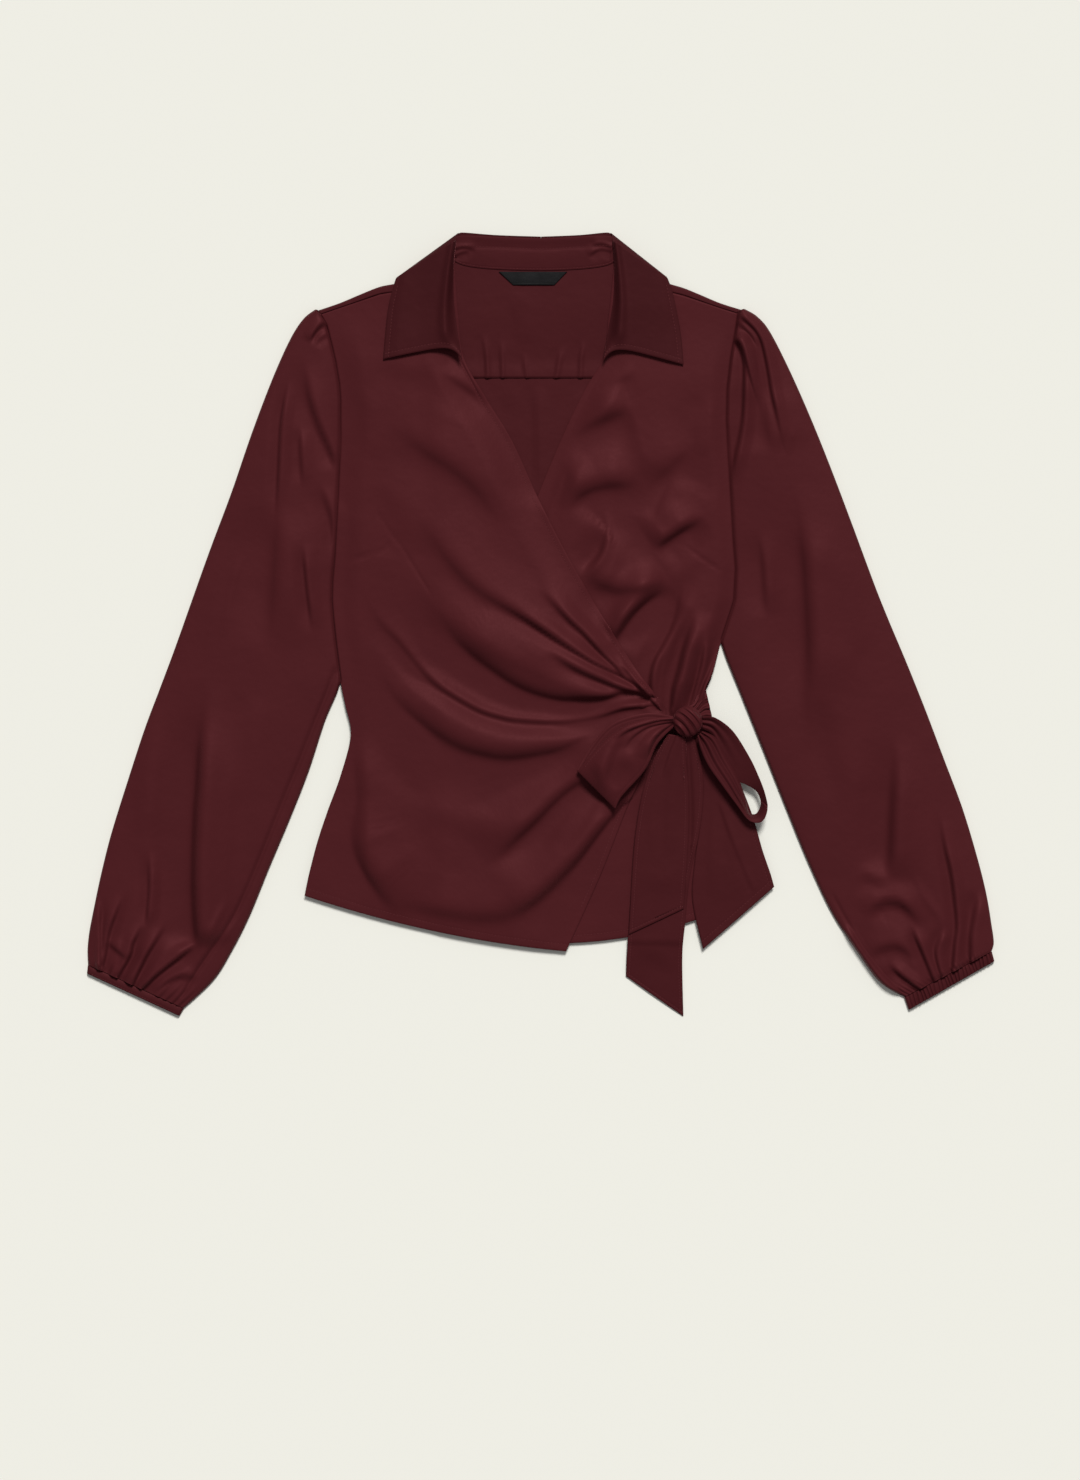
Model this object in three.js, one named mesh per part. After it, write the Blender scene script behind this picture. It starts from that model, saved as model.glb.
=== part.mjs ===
// Wrap blouse laid flat on its back, in millimetres.
// +X is to the viewer's right, +Y to the collar, +Z up from the table that the back lies on.
// Every cloth piece is a closed wall round a middle surface, and stacked layers lie a seam gap apart.
import * as THREE from "three";

const clamp = THREE.MathUtils.clamp;
const lerp = THREE.MathUtils.lerp;

// Driving dimensions
const CLOTH = 1.4; // thickness of every cloth wall
const SEAM_GAP = 0.3; // between two pieces that are sewn or lie on each other
const LAYER = CLOTH + SEAM_GAP; // from the middle of one laid layer to the middle of the next
const TABLE = CLOTH / 2; // height of the middle of a layer that lies on the table
const SLEEVE_PUFF = 2.2; // how far a sleeve's upper side stands off its lower side
const FRONT_PUFF = 1.6; // how far a front stands off the back in its middle
const YOKE_SEAM_Y = 222; // seam between yoke and back
const CUFF_THICK = 4.6; // outside thickness of a flattened cuff
const CUFF_WAVES = 20; // gathers in the elastic cuff's upper side
const LABEL_THICK = 1;
const KNOT = { x: 131.5, y: -87, z: 13, across: 26, along: 28, high: 16 };

const WINE = 0x541f25;
const WINE_SHADE = 0x48191f;
const LABEL_BLACK = 0x141314;

const cloth = (color) => new THREE.MeshStandardMaterial({ color, roughness: 0.55, metalness: 0 });

// Short tables: one row a section, with named columns
const table = (names, rows) =>
  rows.map((row) => Object.fromEntries(names.map((name, i) => [name, row[i]])));

const smooth = (from, to, value) => {
  const t = clamp((value - from) / (to - from), 0, 1);
  return t * t * (3 - 2 * t);
};

// Catmull-Rom value of every column of a table at a share v of its length
function sample(rows, v) {
  const at = clamp(v, 0, 1) * (rows.length - 1);
  const k = Math.min(Math.floor(at), rows.length - 2);
  const t = at - k;
  const row = (i) => rows[clamp(i, 0, rows.length - 1)];
  const [a, b, c, d] = [row(k - 1), row(k), row(k + 1), row(k + 2)];
  const mixed = {};
  for (const key of Object.keys(b)) {
    const slopeIn = (c[key] - a[key]) / 2;
    const slopeOut = (d[key] - b[key]) / 2;
    const rise = c[key] - b[key];
    mixed[key] =
      b[key] +
      slopeIn * t +
      (3 * rise - 2 * slopeIn - slopeOut) * t * t +
      (slopeIn + slopeOut - 2 * rise) * t * t * t;
  }
  return mixed;
}

// The line where body and sleeve meet, down to the point where they part: its x for a height y
function sideLine(rows) {
  const last = rows.length - 1;
  const line = (y) => {
    const found = rows.findIndex((row) => row.y <= y);
    const k = clamp(found < 0 ? last : found, 1, last);
    const t = clamp((rows[k - 1].y - y) / (rows[k - 1].y - rows[k].y), 0, 1);
    return lerp(rows[k - 1].x, rows[k].x, t);
  };
  line.end = rows[last].y;
  return line;
}
const LEFT_SIDE = sideLine(
  table(["x", "y"], [
    [-200, 281], [-193.5, 270], [-189, 252], [-185.5, 237], [-182, 216], [-181, 202], [-181, 166],
    [-183.5, 112], [-186, 62], [-188, 40], [-188.5, 22], [-187, 4], [-185, -14], [-180, -53],
  ]),
);
const RIGHT_SIDE = sideLine(
  table(["x", "y"], [
    [178, 281], [175, 261], [171, 238], [168, 211], [167.5, 184], [168.5, 166], [171, 121],
    [173.5, 76], [175.5, 50], [174, 22], [170, 9], [162, -15],
  ]),
);

// A fold: a soft line of the given width and height along a path, with the crest on its left side
// as it is walked and the trough on its right; a ridge has its crest on the line itself.
function foldHeight(folds, x, y) {
  let height = 0;
  for (const fold of folds) {
    const path = fold.path;
    let nearest = Infinity;
    let side = 0;
    let along = 0;
    for (let i = 0; i < path.length - 1; i++) {
      const [ax, ay] = path[i];
      const [bx, by] = path[i + 1];
      const [dx, dy] = [bx - ax, by - ay];
      const t = clamp(((x - ax) * dx + (y - ay) * dy) / (dx * dx + dy * dy), 0, 1);
      const away = Math.hypot(x - ax - t * dx, y - ay - t * dy);
      if (away < nearest) {
        nearest = away;
        side = Math.sign(dx * (y - ay) - dy * (x - ax));
        along = (i + t) / (path.length - 1);
      }
    }
    const width = lerp(fold.width, fold.endWidth, along);
    const fade = smooth(0, 0.25, along) * (fold.endHeld ? 1 : smooth(0, 0.25, 1 - along));
    const n = nearest / width;
    const bell = Math.exp(-n * n / 2);
    height += fade * fold.height * (fold.ridge ? bell : side * n * bell * Math.sqrt(Math.E));
  }
  return height;
}
const folds = (rows) => table(["path", "width", "endWidth", "height", "endHeld", "ridge"], rows);

// A closed wall of cloth round a grid of middle points; thickness goes straight up or along the normal
function wall(grid, { upright = false } = {}) {
  const rows = grid.length;
  const cols = grid[0].length;
  const normalAt = (j, i) => {
    if (upright) return new THREE.Vector3(0, 0, 1);
    const along = grid[Math.min(j + 1, rows - 1)][i].clone().sub(grid[Math.max(j - 1, 0)][i]);
    const across = grid[j][Math.min(i + 1, cols - 1)].clone().sub(grid[j][Math.max(i - 1, 0)]);
    return along.cross(across).normalize();
  };
  const positions = [];
  for (const side of [1, -1])
    for (let j = 0; j < rows; j++)
      for (let i = 0; i < cols; i++)
        positions.push(...grid[j][i].clone().addScaledVector(normalAt(j, i), (side * CLOTH) / 2));
  const index = [];
  const quad = (a, b, c, d) => index.push(a, b, c, a, c, d);
  const upper = (j, i) => j * cols + i;
  const lower = (j, i) => rows * cols + upper(j, i);
  for (let j = 0; j < rows - 1; j++)
    for (let i = 0; i < cols - 1; i++) {
      quad(upper(j, i), upper(j, i + 1), upper(j + 1, i + 1), upper(j + 1, i));
      quad(lower(j, i), lower(j + 1, i), lower(j + 1, i + 1), lower(j, i + 1));
    }
  const rim = [];
  for (let i = 0; i < cols - 1; i++) rim.push([0, i]);
  for (let j = 0; j < rows - 1; j++) rim.push([j, cols - 1]);
  for (let i = cols - 1; i > 0; i--) rim.push([rows - 1, i]);
  for (let j = rows - 1; j > 0; j--) rim.push([j, 0]);
  rim.forEach(([j, i], k) => {
    const [nj, ni] = rim[(k + 1) % rim.length];
    quad(upper(nj, ni), upper(j, i), lower(j, i), lower(nj, ni));
  });
  return outward(positions, index);
}

// A closed band of cloth: rings of outer points with their inner points
function ringWall(outer, inner) {
  const rings = outer.length;
  const count = outer[0].length;
  const positions = [...outer.flat(), ...inner.flat()].flatMap((p) => [...p]);
  const index = [];
  const quad = (a, b, c, d) => index.push(a, b, c, a, c, d);
  const at = (layer, j, i) => layer * rings * count + j * count + (i % count);
  for (let i = 0; i < count; i++) {
    for (let j = 0; j < rings - 1; j++) {
      quad(at(0, j, i), at(0, j, i + 1), at(0, j + 1, i + 1), at(0, j + 1, i));
      quad(at(1, j, i), at(1, j + 1, i), at(1, j + 1, i + 1), at(1, j, i + 1));
    }
    quad(at(0, 0, i + 1), at(0, 0, i), at(1, 0, i), at(1, 0, i + 1));
    quad(at(0, rings - 1, i), at(0, rings - 1, i + 1), at(1, rings - 1, i + 1), at(1, rings - 1, i));
  }
  return outward(positions, index);
}

// Geometry whose faces point out, whichever way its grid was walked
function outward(positions, index) {
  const p = (i) => new THREE.Vector3().fromArray(positions, 3 * i);
  let volume = 0;
  for (let i = 0; i < index.length; i += 3)
    volume += p(index[i]).dot(p(index[i + 1]).cross(p(index[i + 2])));
  if (volume < 0) index.reverse();
  const geometry = new THREE.BufferGeometry();
  geometry.setAttribute("position", new THREE.Float32BufferAttribute(positions, 3));
  geometry.setIndex(index);
  geometry.computeVertexNormals();
  return geometry;
}

const group = new THREE.Group();
group.name = "wrap_top";
function sew(name, geometry, color = WINE) {
  const mesh = new THREE.Mesh(geometry, cloth(color));
  mesh.name = name;
  group.add(mesh);
}

// A panel between a left and a right edge: rows of sections, each bowed towards +Y by its own amount
function panel(sections, { rows, cols, height, left, right, top }) {
  return Array.from({ length: rows + 1 }, (_, j) => {
    const s = sample(sections, j / rows);
    const leftX = left ? left(s.leftX, s.leftY) : s.leftX;
    const rightX = right ? right(s.rightX, s.rightY) : s.rightX;
    return Array.from({ length: cols + 1 }, (_, i) => {
      const u = i / cols;
      const x = lerp(leftX, rightX, u);
      const level = lerp(s.leftY, s.rightY, u) + s.bow * 4 * u * (1 - u);
      const y = top && j === 0 ? top(x) : level;
      return new THREE.Vector3(x, y, height(x, y, u, j / rows));
    });
  });
}
const SECTION = ["leftX", "leftY", "rightX", "rightY", "bow"];

// Stacked heights of the middle surfaces
// The collar's turned part lies under the yoke, which rises over it round the neck.
const neckRise = (x, y) => LAYER * smooth(228, 292, y) * smooth(180, 114, Math.abs(x + 7));
const backHeight = (x, y) => TABLE + neckRise(x, y);

const UNDER_FOLDS = folds([
  [[[85, 115], [60, 128], [38, 122], [26, 105]], 9, 9, 1.6, false, false],
  [[[115, 33], [102, 21], [89, 12], [72, -2]], 9, 8, 2.4, false, false],
  [[[152, 84], [132, 76], [107, 73]], 14, 12, 1.4, false, false],
  [[[75, 192], [50, 178], [25, 172]], 12, 10, 1.6, false, false],
  [[[126, 46], [118, 20], [110, -10], [98, -50]], 8, 7, 1.8, true, false],
  [[[134, 10], [128, -30], [118, -60]], 8, 6, 1.5, true, false],
]);
// The left front's own height; under the wrap its folds and its edge die away to a flat layer
const wrapEdgeX = (y) => lerp(-4, 114, smooth(114, -80, y)) - 6 * Math.sin(Math.PI * smooth(114, -80, y));
const underHeight = (x, y) => {
  const shown = smooth(-34, 4, x - wrapEdgeX(y));
  const middle = smooth(0, 60, x + 20) * smooth(0, 50, 168 - x) * smooth(-90, -20, y) * smooth(275, 215, y);
  return (
    TABLE + LAYER + neckRise(x, y) + shown * (FRONT_PUFF * middle + Math.max(-1.2, foldHeight(UNDER_FOLDS, x, y)) * middle)
  );
};
// The highest point of the left front near (x, y), so that the wrap clears its folds
const underCrest = (x, y) => {
  let crest = underHeight(x, y);
  for (let k = 0; k < 8; k++) {
    const turn = (k * Math.PI) / 4;
    crest = Math.max(crest, underHeight(x + 9 * Math.cos(turn), y + 9 * Math.sin(turn)));
  }
  return crest;
};

const OVER_FOLDS = folds([
  [[[113, -42], [64, -30], [18, 0], [-14, 36]], 5, 9, 2.2, false, false],
  [[[108, -58], [53, -26], [0, 2], [-54, 38], [-100, 86]], 5, 11, 2.6, false, false],
  [[[104, -68], [44, -72], [-10, -58], [-64, -14], [-92, 14]], 7, 13, 4.2, false, false],
  [[[90, -84], [26, -89], [-37, -75], [-100, -31], [-146, 24]], 5, 10, 2.6, false, false],
  [[[62, -108], [8, -117], [-73, -108], [-127, -58], [-156, -26]], 10, 15, 3.2, false, false],
  [[[36, -137], [0, -171], [-36, -206]], 9, 9, 2, false, false],
  [[[68, -172], [34, -214], [0, -248], [-40, -268]], 10, 11, 3, false, false],
  [[[-163, -108], [-160, -190], [-140, -230], [-124, -258]], 9, 9, -1.6, false, false],
  [[[-129, 160], [-64, 136], [-18, 102]], 12, 10, 1.4, false, false],
  [[[-184, 58], [-146, 66], [-129, 79]], 5, 4, 1, false, false],
]);
const overHeight = (x, y) => {
  const onUnder = smooth(-112, -84, x);
  const base = lerp(TABLE + LAYER + neckRise(x, y), underCrest(x, y) + LAYER + 0.3, onUnder);
  const inside = smooth(0, 30, x - LEFT_SIDE(y)) * smooth(-300, -270, y + 0.14 * (x - 22)) * smooth(290, 225, y);
  const gather = 3.6 * Math.exp(-((x - 104) ** 2) / 1800 - (y + 74) ** 2 / 1500);
  const fold = foldHeight(OVER_FOLDS, x, y);
  return base + gather + inside * (FRONT_PUFF + Math.max(-FRONT_PUFF, fold));
};

// Back, from the yoke seam to a hem kept just inside the fronts' hems
sew(
  "back",
  wall(
    panel(
      table(SECTION, [
        [-180, YOKE_SEAM_Y - SEAM_GAP, 166.5, YOKE_SEAM_Y - SEAM_GAP, 0],
        [-179, 166, 165.5, 166, 0],
        [-182, 94, 171, 94, 0],
        [-184.5, 40, 172.5, 40, 0],
        [-183.5, -4, 163.5, -4, 0],
        [-177, -49, 154, -45, 0],
        [-169, -85, 147, -72, 0],
        [-176, -135, 162, -126, -2],
        [-190, -175, 180, -180, -8],
        [-204.5, -220, 194, -212, -20],
        [-208.5, -238, 199.5, -232, -34],
      ]),
      { rows: 14, cols: 12, height: () => TABLE },
    ),
    { upright: true },
  ),
  WINE_SHADE,
);

// Back yoke: its front edge turns over each shoulder and ends at the front's shoulder seam
const YOKE_TOP = table(["x", "y", "turn"], [
  [-198, 279.5, 1.2], [-181, 288.5, 3], [-163, 296, 4.5], [-145, 303, 5.5], [-127, 307, 6.5], [-109, 316, 6.5],
  [-92, 326, 5], [-80, 333, 1], [-74, 326, 0.6], [-64, 321, 0.6], [-37, 319.5, 0.6], [0, 318.5, 0.6],
  [35, 319.5, 0.6], [58, 323, 0.6], [64, 327, 0.6], [68, 333, 1], [80, 326.5, 5], [98, 315, 6.5],
  [112, 307, 6.5], [128, 302, 5.5], [143, 296, 4.5], [161, 288.5, 3], [177, 280, 1.2],
]);
const YOKE_COLS = 26;
const YOKE_ROWS = 4;
const NECK_EDGE = 1.2; // narrow rows along the neck seam
const shoulderSeam = (x) => {
  const k = clamp(YOKE_TOP.findIndex((row) => row.x >= x), 1, YOKE_TOP.length - 1);
  const [a, b] = [YOKE_TOP[k - 1], YOKE_TOP[k]];
  const t = clamp((x - a.x) / (b.x - a.x), 0, 1);
  return lerp(a.y - a.turn, b.y - b.turn, t) - 3 * SEAM_GAP;
};
const yokeGrid = [];
for (let j = -4; j <= YOKE_ROWS; j++) {
  yokeGrid.push(
    Array.from({ length: YOKE_COLS + 1 }, (_, i) => {
      const u = i / YOKE_COLS;
      const top = sample(YOKE_TOP, u);
      const bottomX = lerp(-180, 166.5, u);
      const low = backHeight(top.x, top.y);
      if (j <= 0) {
        // half a turn round the shoulder, then the strip that lies on top; at the neck a plain edge
        const onShoulder = smooth(0.6, 3, top.turn);
        const turn = j < -3 ? Math.PI : (-j * Math.PI) / 3;
        const rise = (LAYER / 2) * (1 - Math.cos(turn));
        const out = 0.9 * Math.sin(turn) - (j < -3 ? top.turn : -0.15 * j);
        const edge = NECK_EDGE * (-j / 4 - 1);
        return new THREE.Vector3(top.x, top.y + lerp(edge, out, onShoulder), low + rise * onShoulder);
      }
      const t = j / YOKE_ROWS;
      const y = lerp(top.y, YOKE_SEAM_Y, t);
      const x = clamp(lerp(top.x, bottomX, t), LEFT_SIDE(y) + 0.6, RIGHT_SIDE(y) - 0.6);
      return new THREE.Vector3(x, y, backHeight(x, y));
    }),
  );
}
sew("back_yoke", wall(yokeGrid), WINE_SHADE);

// Left front, which lies under the wrap
const rightGap = (x, y) => (y > RIGHT_SIDE.end ? RIGHT_SIDE(y) - 0.5 : x);
sew(
  "front_under",
  wall(
    panel(
      table(SECTION, [
        [66, 323, 174, 277.5, 5],
        [60.5, 276, 172, 245.5, 2],
        [56, 241, 168, 207, 0],
        [38, 209, 168, 166.5, 0],
        [19, 169, 171, 117, 0],
        [6.5, 139.5, 173.5, 72, 0],
        [-5.5, 110.5, 175.5, 40.5, 0],
        [-28, 58.5, 170, 9, 0],
        [-55, 4.5, 162, -14.5, 0],
        [-71, -36, 154.5, -42.5, 0],
        [-77.5, -67.5, 147, -60, 0],
        [-80, -99, 151, -86, 0],
        [-82, -130.5, 161, -121.5, 0],
        [-82, -166.5, 174.5, -157.5, -1],
        [-80, -205, 185, -193.5, -6],
        [-68.5, -277, 196, -230, -14],
      ]),
      { rows: 28, cols: 18, height: underHeight, right: rightGap, top: shoulderSeam },
    ),
    { upright: true },
  ),
);

// Right front, which wraps over and is drawn into the knot
const leftGap = (x, y) => (y > LEFT_SIDE.end ? LEFT_SIDE(y) + 0.5 : x);
sew(
  "front_over",
  wall(
    panel(
      table(SECTION, [
        [-197.5, 277.5, -78, 324, 5],
        [-187, 245.5, -74.5, 277, 2],
        [-181, 207, -69.5, 240, 0],
        [-181, 166.5, -49.5, 204, 0],
        [-183.5, 112.5, -26, 165.5, 0],
        [-186, 58.5, -2.5, 114, 0],
        [-188, 18, 24, 62, 0],
        [-184.5, -18, 53, 11.5, 0],
        [-180, -52, 82, -35, 0],
        [-176, -72, 102.5, -63, 0],
        [-171, -99, 112, -76, 0],
        [-180, -135, 109, -92, 0],
        [-191.5, -166.5, 96, -123, 0],
        [-200.5, -193.5, 76.5, -166.5, 0],
        [-208, -222, 53, -226, -3],
        [-212.5, -243.5, 22.5, -293.5, -7],
      ]),
      { rows: 32, cols: 28, height: overHeight, left: leftGap, top: shoulderSeam },
    ),
    { upright: true },
  ),
);

// Side panel below the waist, over the left front
sew(
  "side_panel",
  wall(
    panel(
      table(SECTION, [
        [138, -104, 152, -96, 0],
        [143.5, -135, 172.5, -129, 0],
        [143, -175.5, 189, -168.5, 0],
        [138, -213, 199, -202.5, 0],
        [136, -247.5, 206, -223, 0],
        [145.5, -291.5, 209.5, -235.5, 0],
      ]),
      {
        rows: 12,
        cols: 8,
        height: (x, y, u) => TABLE + 2 * LAYER + 1.2 * Math.sin(Math.PI * u) * smooth(-290, -200, y),
      },
    ),
    { upright: true },
  ),
);

// Sleeves: one sheet from the underarm seam across the upper side, round the outer fold and back below
const SLEEVE = ["outerX", "outerY", "innerX", "innerY"];
const SLEEVE_TOP_COLS = 20;
const SLEEVE_FOLD_COLS = 3;
const SLEEVE_UNDER_COLS = 2;
const SLEEVE_ROWS = 21;
function sleeveGrid(sections, seam, side, sleeveFolds, gathers) {
  const grid = [];
  for (let j = 0; j <= SLEEVE_ROWS; j++) {
    const v = j / SLEEVE_ROWS;
    const s = sample(sections, v);
    const innerX = s.innerY > seam.end ? seam(s.innerY) + side * 0.5 : s.innerX;
    const width = Math.hypot(s.outerX - innerX, s.outerY - s.innerY);
    const row = [];
    const inset = LAYER / 2 / width;
    for (let i = 0; i <= SLEEVE_TOP_COLS; i++) {
      const a = (i / SLEEVE_TOP_COLS) * (1 - inset);
      const x = lerp(innerX, s.outerX, a);
      const y = lerp(s.innerY, s.outerY, a);
      const puff = SLEEVE_PUFF * Math.sin(Math.PI * Math.min(1, a / (1 - inset))) ** 0.7;
      const room = Math.min(1, puff);
      const pleat = gathers(a, v);
      const fold = clamp(foldHeight(sleeveFolds, x, y), -puff, 2);
      row.push(new THREE.Vector3(x, y, TABLE + LAYER + puff + room * (fold + pleat)));
    }
    for (let i = 1; i <= SLEEVE_FOLD_COLS; i++) {
      const turn = (i * Math.PI) / SLEEVE_FOLD_COLS;
      const a = 1 - inset + inset * Math.sin(turn);
      const z = TABLE + (LAYER / 2) * (1 + Math.cos(turn));
      row.push(new THREE.Vector3(lerp(innerX, s.outerX, a), lerp(s.innerY, s.outerY, a), z));
    }
    for (let i = 1; i <= SLEEVE_UNDER_COLS; i++) {
      const a = (1 - inset) * (1 - i / SLEEVE_UNDER_COLS);
      row.push(new THREE.Vector3(lerp(innerX, s.outerX, a), lerp(s.innerY, s.outerY, a), TABLE));
    }
    grid.push(row);
  }
  return grid;
}
// Pleats at the cap and gathers at the cuff, each gather a wave of its own width across the sleeve
const gathered = (caps, waves, phase) => (a, v) => {
  const cap = smooth(0.22, 0.03, v) * Math.sin(a * caps * 2 * Math.PI + phase);
  const cuff = smooth(0.66, 1, v) * Math.sin((a + 0.035 * Math.sin(5 * a + phase)) * waves * 2 * Math.PI);
  return 0.8 * cap + 0.9 * cuff;
};
sew(
  "sleeve_left",
  wall(
    sleeveGrid(
      table(SLEEVE, [
        [-202, 281.5, -198, 278.5],
        [-214, 274.5, -192, 264],
        [-226, 255.5, -186.5, 243],
        [-242, 219.5, -181, 202.5],
        [-260, 172, -181, 153],
        [-278, 119.5, -183.5, 108],
        [-294.5, 75.5, -186.5, 63],
        [-304.5, 48, -187.5, 36],
        [-313, 24, -188, 11],
        [-329.5, -22.5, -183.5, -24],
        [-343, -58.5, -181, -52],
        [-356.5, -94.5, -194.5, -86.5],
        [-371.5, -140.5, -209.5, -132.5],
        [-386, -187, -227.5, -178],
        [-395, -222.5, -244, -217],
        [-401.5, -253, -262, -261],
        [-406, -276.5, -279, -294.5],
        [-407.5, -292.5, -295, -319.5],
        [-407, -305.5, -321.5, -344.5],
      ]),
      LEFT_SIDE,
      -1,
      folds([
        [[[-201, 202], [-193, 175], [-187, 148], [-185, 120]], 6, 6, -1.4, false, false],
        [[[-303, -50], [-308, -100], [-312, -170], [-312, -240], [-312, -290]], 9, 8, -1.8, false, false],
        [[[-240, 90], [-243, 30], [-246, -14]], 12, 12, -1.2, false, false],
        [[[-224, 250], [-228, 210], [-233, 165], [-235, 140]], 9, 9, 1.2, false, true],
      ]),
      gathered(3, 8, 0.4),
    ),
  ),
);
sew(
  "sleeve_right",
  wall(
    sleeveGrid(
      table(SLEEVE, [
        [181.5, 282.5, 177.5, 279],
        [194.5, 277, 175, 262],
        [206, 263, 172, 243],
        [224, 227.5, 168.5, 204],
        [244, 182, 168.5, 162],
        [262, 137, 171, 117],
        [279, 92, 174.5, 72],
        [291, 59.5, 175, 46],
        [303, 27.5, 173.5, 22],
        [315, -2, 168, 3],
        [328.5, -34, 162.5, -16],
        [345.5, -76.5, 181, -65],
        [362.5, -121.5, 200, -112.5],
        [379, -165.5, 220.5, -164.5],
        [392.5, -210.5, 240.5, -213.5],
        [400.5, -243, 262, -259],
        [405, -270, 285.5, -295],
        [407, -285.5, 305, -321],
        [405, -293.5, 327, -334.5],
      ]),
      RIGHT_SIDE,
      1,
      folds([
        [[[200, 238], [206, 210], [214, 182], [220, 160]], 6, 6, -1.4, false, false],
        [[[234, 94], [238, 30], [240, -20], [238, -68]], 11, 11, -1.3, false, false],
        [[[314, -108], [312, -158], [314, -203], [311, -230]], 10, 10, -1.4, false, false],
        [[[180, 274], [190, 256], [200, 236], [208, 215]], 7, 7, 1.2, false, true],
      ]),
      gathered(3, 9, 1.1),
    ),
  ),
);

// Cuffs: a flattened band below the gathers, plain or drawn into waves by elastic
const CUFF_ENDS = 6; // points round each end of the flattened band
function cuffBand(seamLine, edgeLine, waves, depthPoints) {
  const topPoints = waves ? waves * 2 : 10;
  const outer = [];
  const inner = [];
  for (let j = 0; j <= depthPoints; j++) {
    const t = j / depthPoints;
    const start = seamLine[0].clone().lerp(edgeLine[0], t);
    const end = seamLine[1].clone().lerp(edgeLine[1], t);
    const across = end.clone().sub(start);
    const width = across.length();
    across.normalize();
    const ring = (radius, inset) => {
      const points = [];
      const centre = CUFF_THICK / 2;
      const put = (along, z) => points.push(start.clone().addScaledVector(across, along).setZ(z));
      for (let i = 0; i <= topPoints; i++) {
        const along = lerp(CUFF_THICK / 2, width - CUFF_THICK / 2, i / topPoints);
        const wave = waves ? 0.45 * Math.cos((i / topPoints) * waves * 2 * Math.PI) : 0;
        put(along, CUFF_THICK - inset + wave);
      }
      for (let k = 1; k < CUFF_ENDS; k++) {
        const turn = (k * Math.PI) / CUFF_ENDS;
        put(width - CUFF_THICK / 2 + radius * Math.sin(turn), centre + radius * Math.cos(turn));
      }
      for (let i = 0; i <= 4; i++)
        put(lerp(width - CUFF_THICK / 2, CUFF_THICK / 2, i / 4), centre - radius);
      for (let k = 1; k < CUFF_ENDS; k++) {
        const turn = (k * Math.PI) / CUFF_ENDS;
        put(CUFF_THICK / 2 - radius * Math.sin(turn), centre - radius * Math.cos(turn));
      }
      return points;
    };
    outer.push(ring(CUFF_THICK / 2, 0));
    inner.push(ring(CUFF_THICK / 2 - CLOTH, CLOTH));
  }
  return ringWall(outer, inner);
}
const flat = (x, y) => new THREE.Vector3(x, y, 0);
sew(
  "cuff_left",
  cuffBand([flat(-407.2, -305.9), flat(-321.7, -344.9)], [flat(-408, -313.5), flat(-325.5, -351.5)], 0, 2),
);
sew(
  "cuff_right",
  cuffBand([flat(405.2, -293.9), flat(327.2, -334.9)], [flat(407.5, -302.5), flat(331, -346)], CUFF_WAVES, 2),
);

// Strips of cloth given by their two edges, a row a section: collar, sash, bow and tails
const STRIP = ["ax", "ay", "az", "bx", "by", "bz", "bow"];
function strip(sections, rows, cols, { crown = 0, lift = (p) => p.z } = {}) {
  const grid = [];
  for (let j = 0; j <= rows; j++) {
    const s = sample(sections, j / rows);
    const a = new THREE.Vector3(s.ax, s.ay, s.az);
    const b = new THREE.Vector3(s.bx, s.by, s.bz);
    grid.push(
      Array.from({ length: cols + 1 }, (_, i) => {
        const u = i / cols;
        const arch = 4 * u * (1 - u);
        const p = a.clone().lerp(b, u).add(new THREE.Vector3(0, s.bow * arch, crown * arch));
        return p.setZ(lift(p, j / rows));
      }),
    );
  }
  return grid;
}

// Collar halves: leaf on the front, over the shoulder, then behind the stand to the centre back seam
const LEAF = TABLE + 3 * LAYER; // a leaf lies on the front, the yoke and the collar's turned part
const COLLAR_ROWS = 18;
const COLLAR_COLS = 6;
const LEAF_SHARE = 4.2 / 9; // share of a collar half that lies on the front
const onFront = (front) => (p, v) =>
  Math.max(TABLE, p.z, v < LEAF_SHARE ? front(p.x, p.y) + LAYER + 0.3 : 0);
sew(
  "collar_left",
  wall(
    strip(
      table(STRIP, [
        [-70.5, 237, LEAF, -141.5, 238.5, TABLE, 9],
        [-75, 262, LEAF + 1, -140, 257, TABLE, 4],
        [-78.5, 292, LEAF + 1.5, -137.5, 282, LEAF, 0],
        [-78.5, 322, LEAF + 1.5, -133.5, 300, LEAF + 0.2, 0],
        [-76.5, 343, LEAF + 0.6, -130.5, 310, LEAF + 0.3, 0],
        [-75, 351, 3.2, -128.5, 313, 3.2, 0],
        [-73.5, 352, TABLE, -126, 312.5, TABLE, 0],
        [-68, 352, TABLE, -112, 303, TABLE, 0],
        [-40, 352.5, TABLE, -60, 300, TABLE, 0],
        [-SEAM_GAP / 2, 352, TABLE, -SEAM_GAP / 2, 297, TABLE, 0],
      ]),
      COLLAR_ROWS,
      COLLAR_COLS,
      { lift: onFront(overHeight) },
    ),
  ),
);
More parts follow.
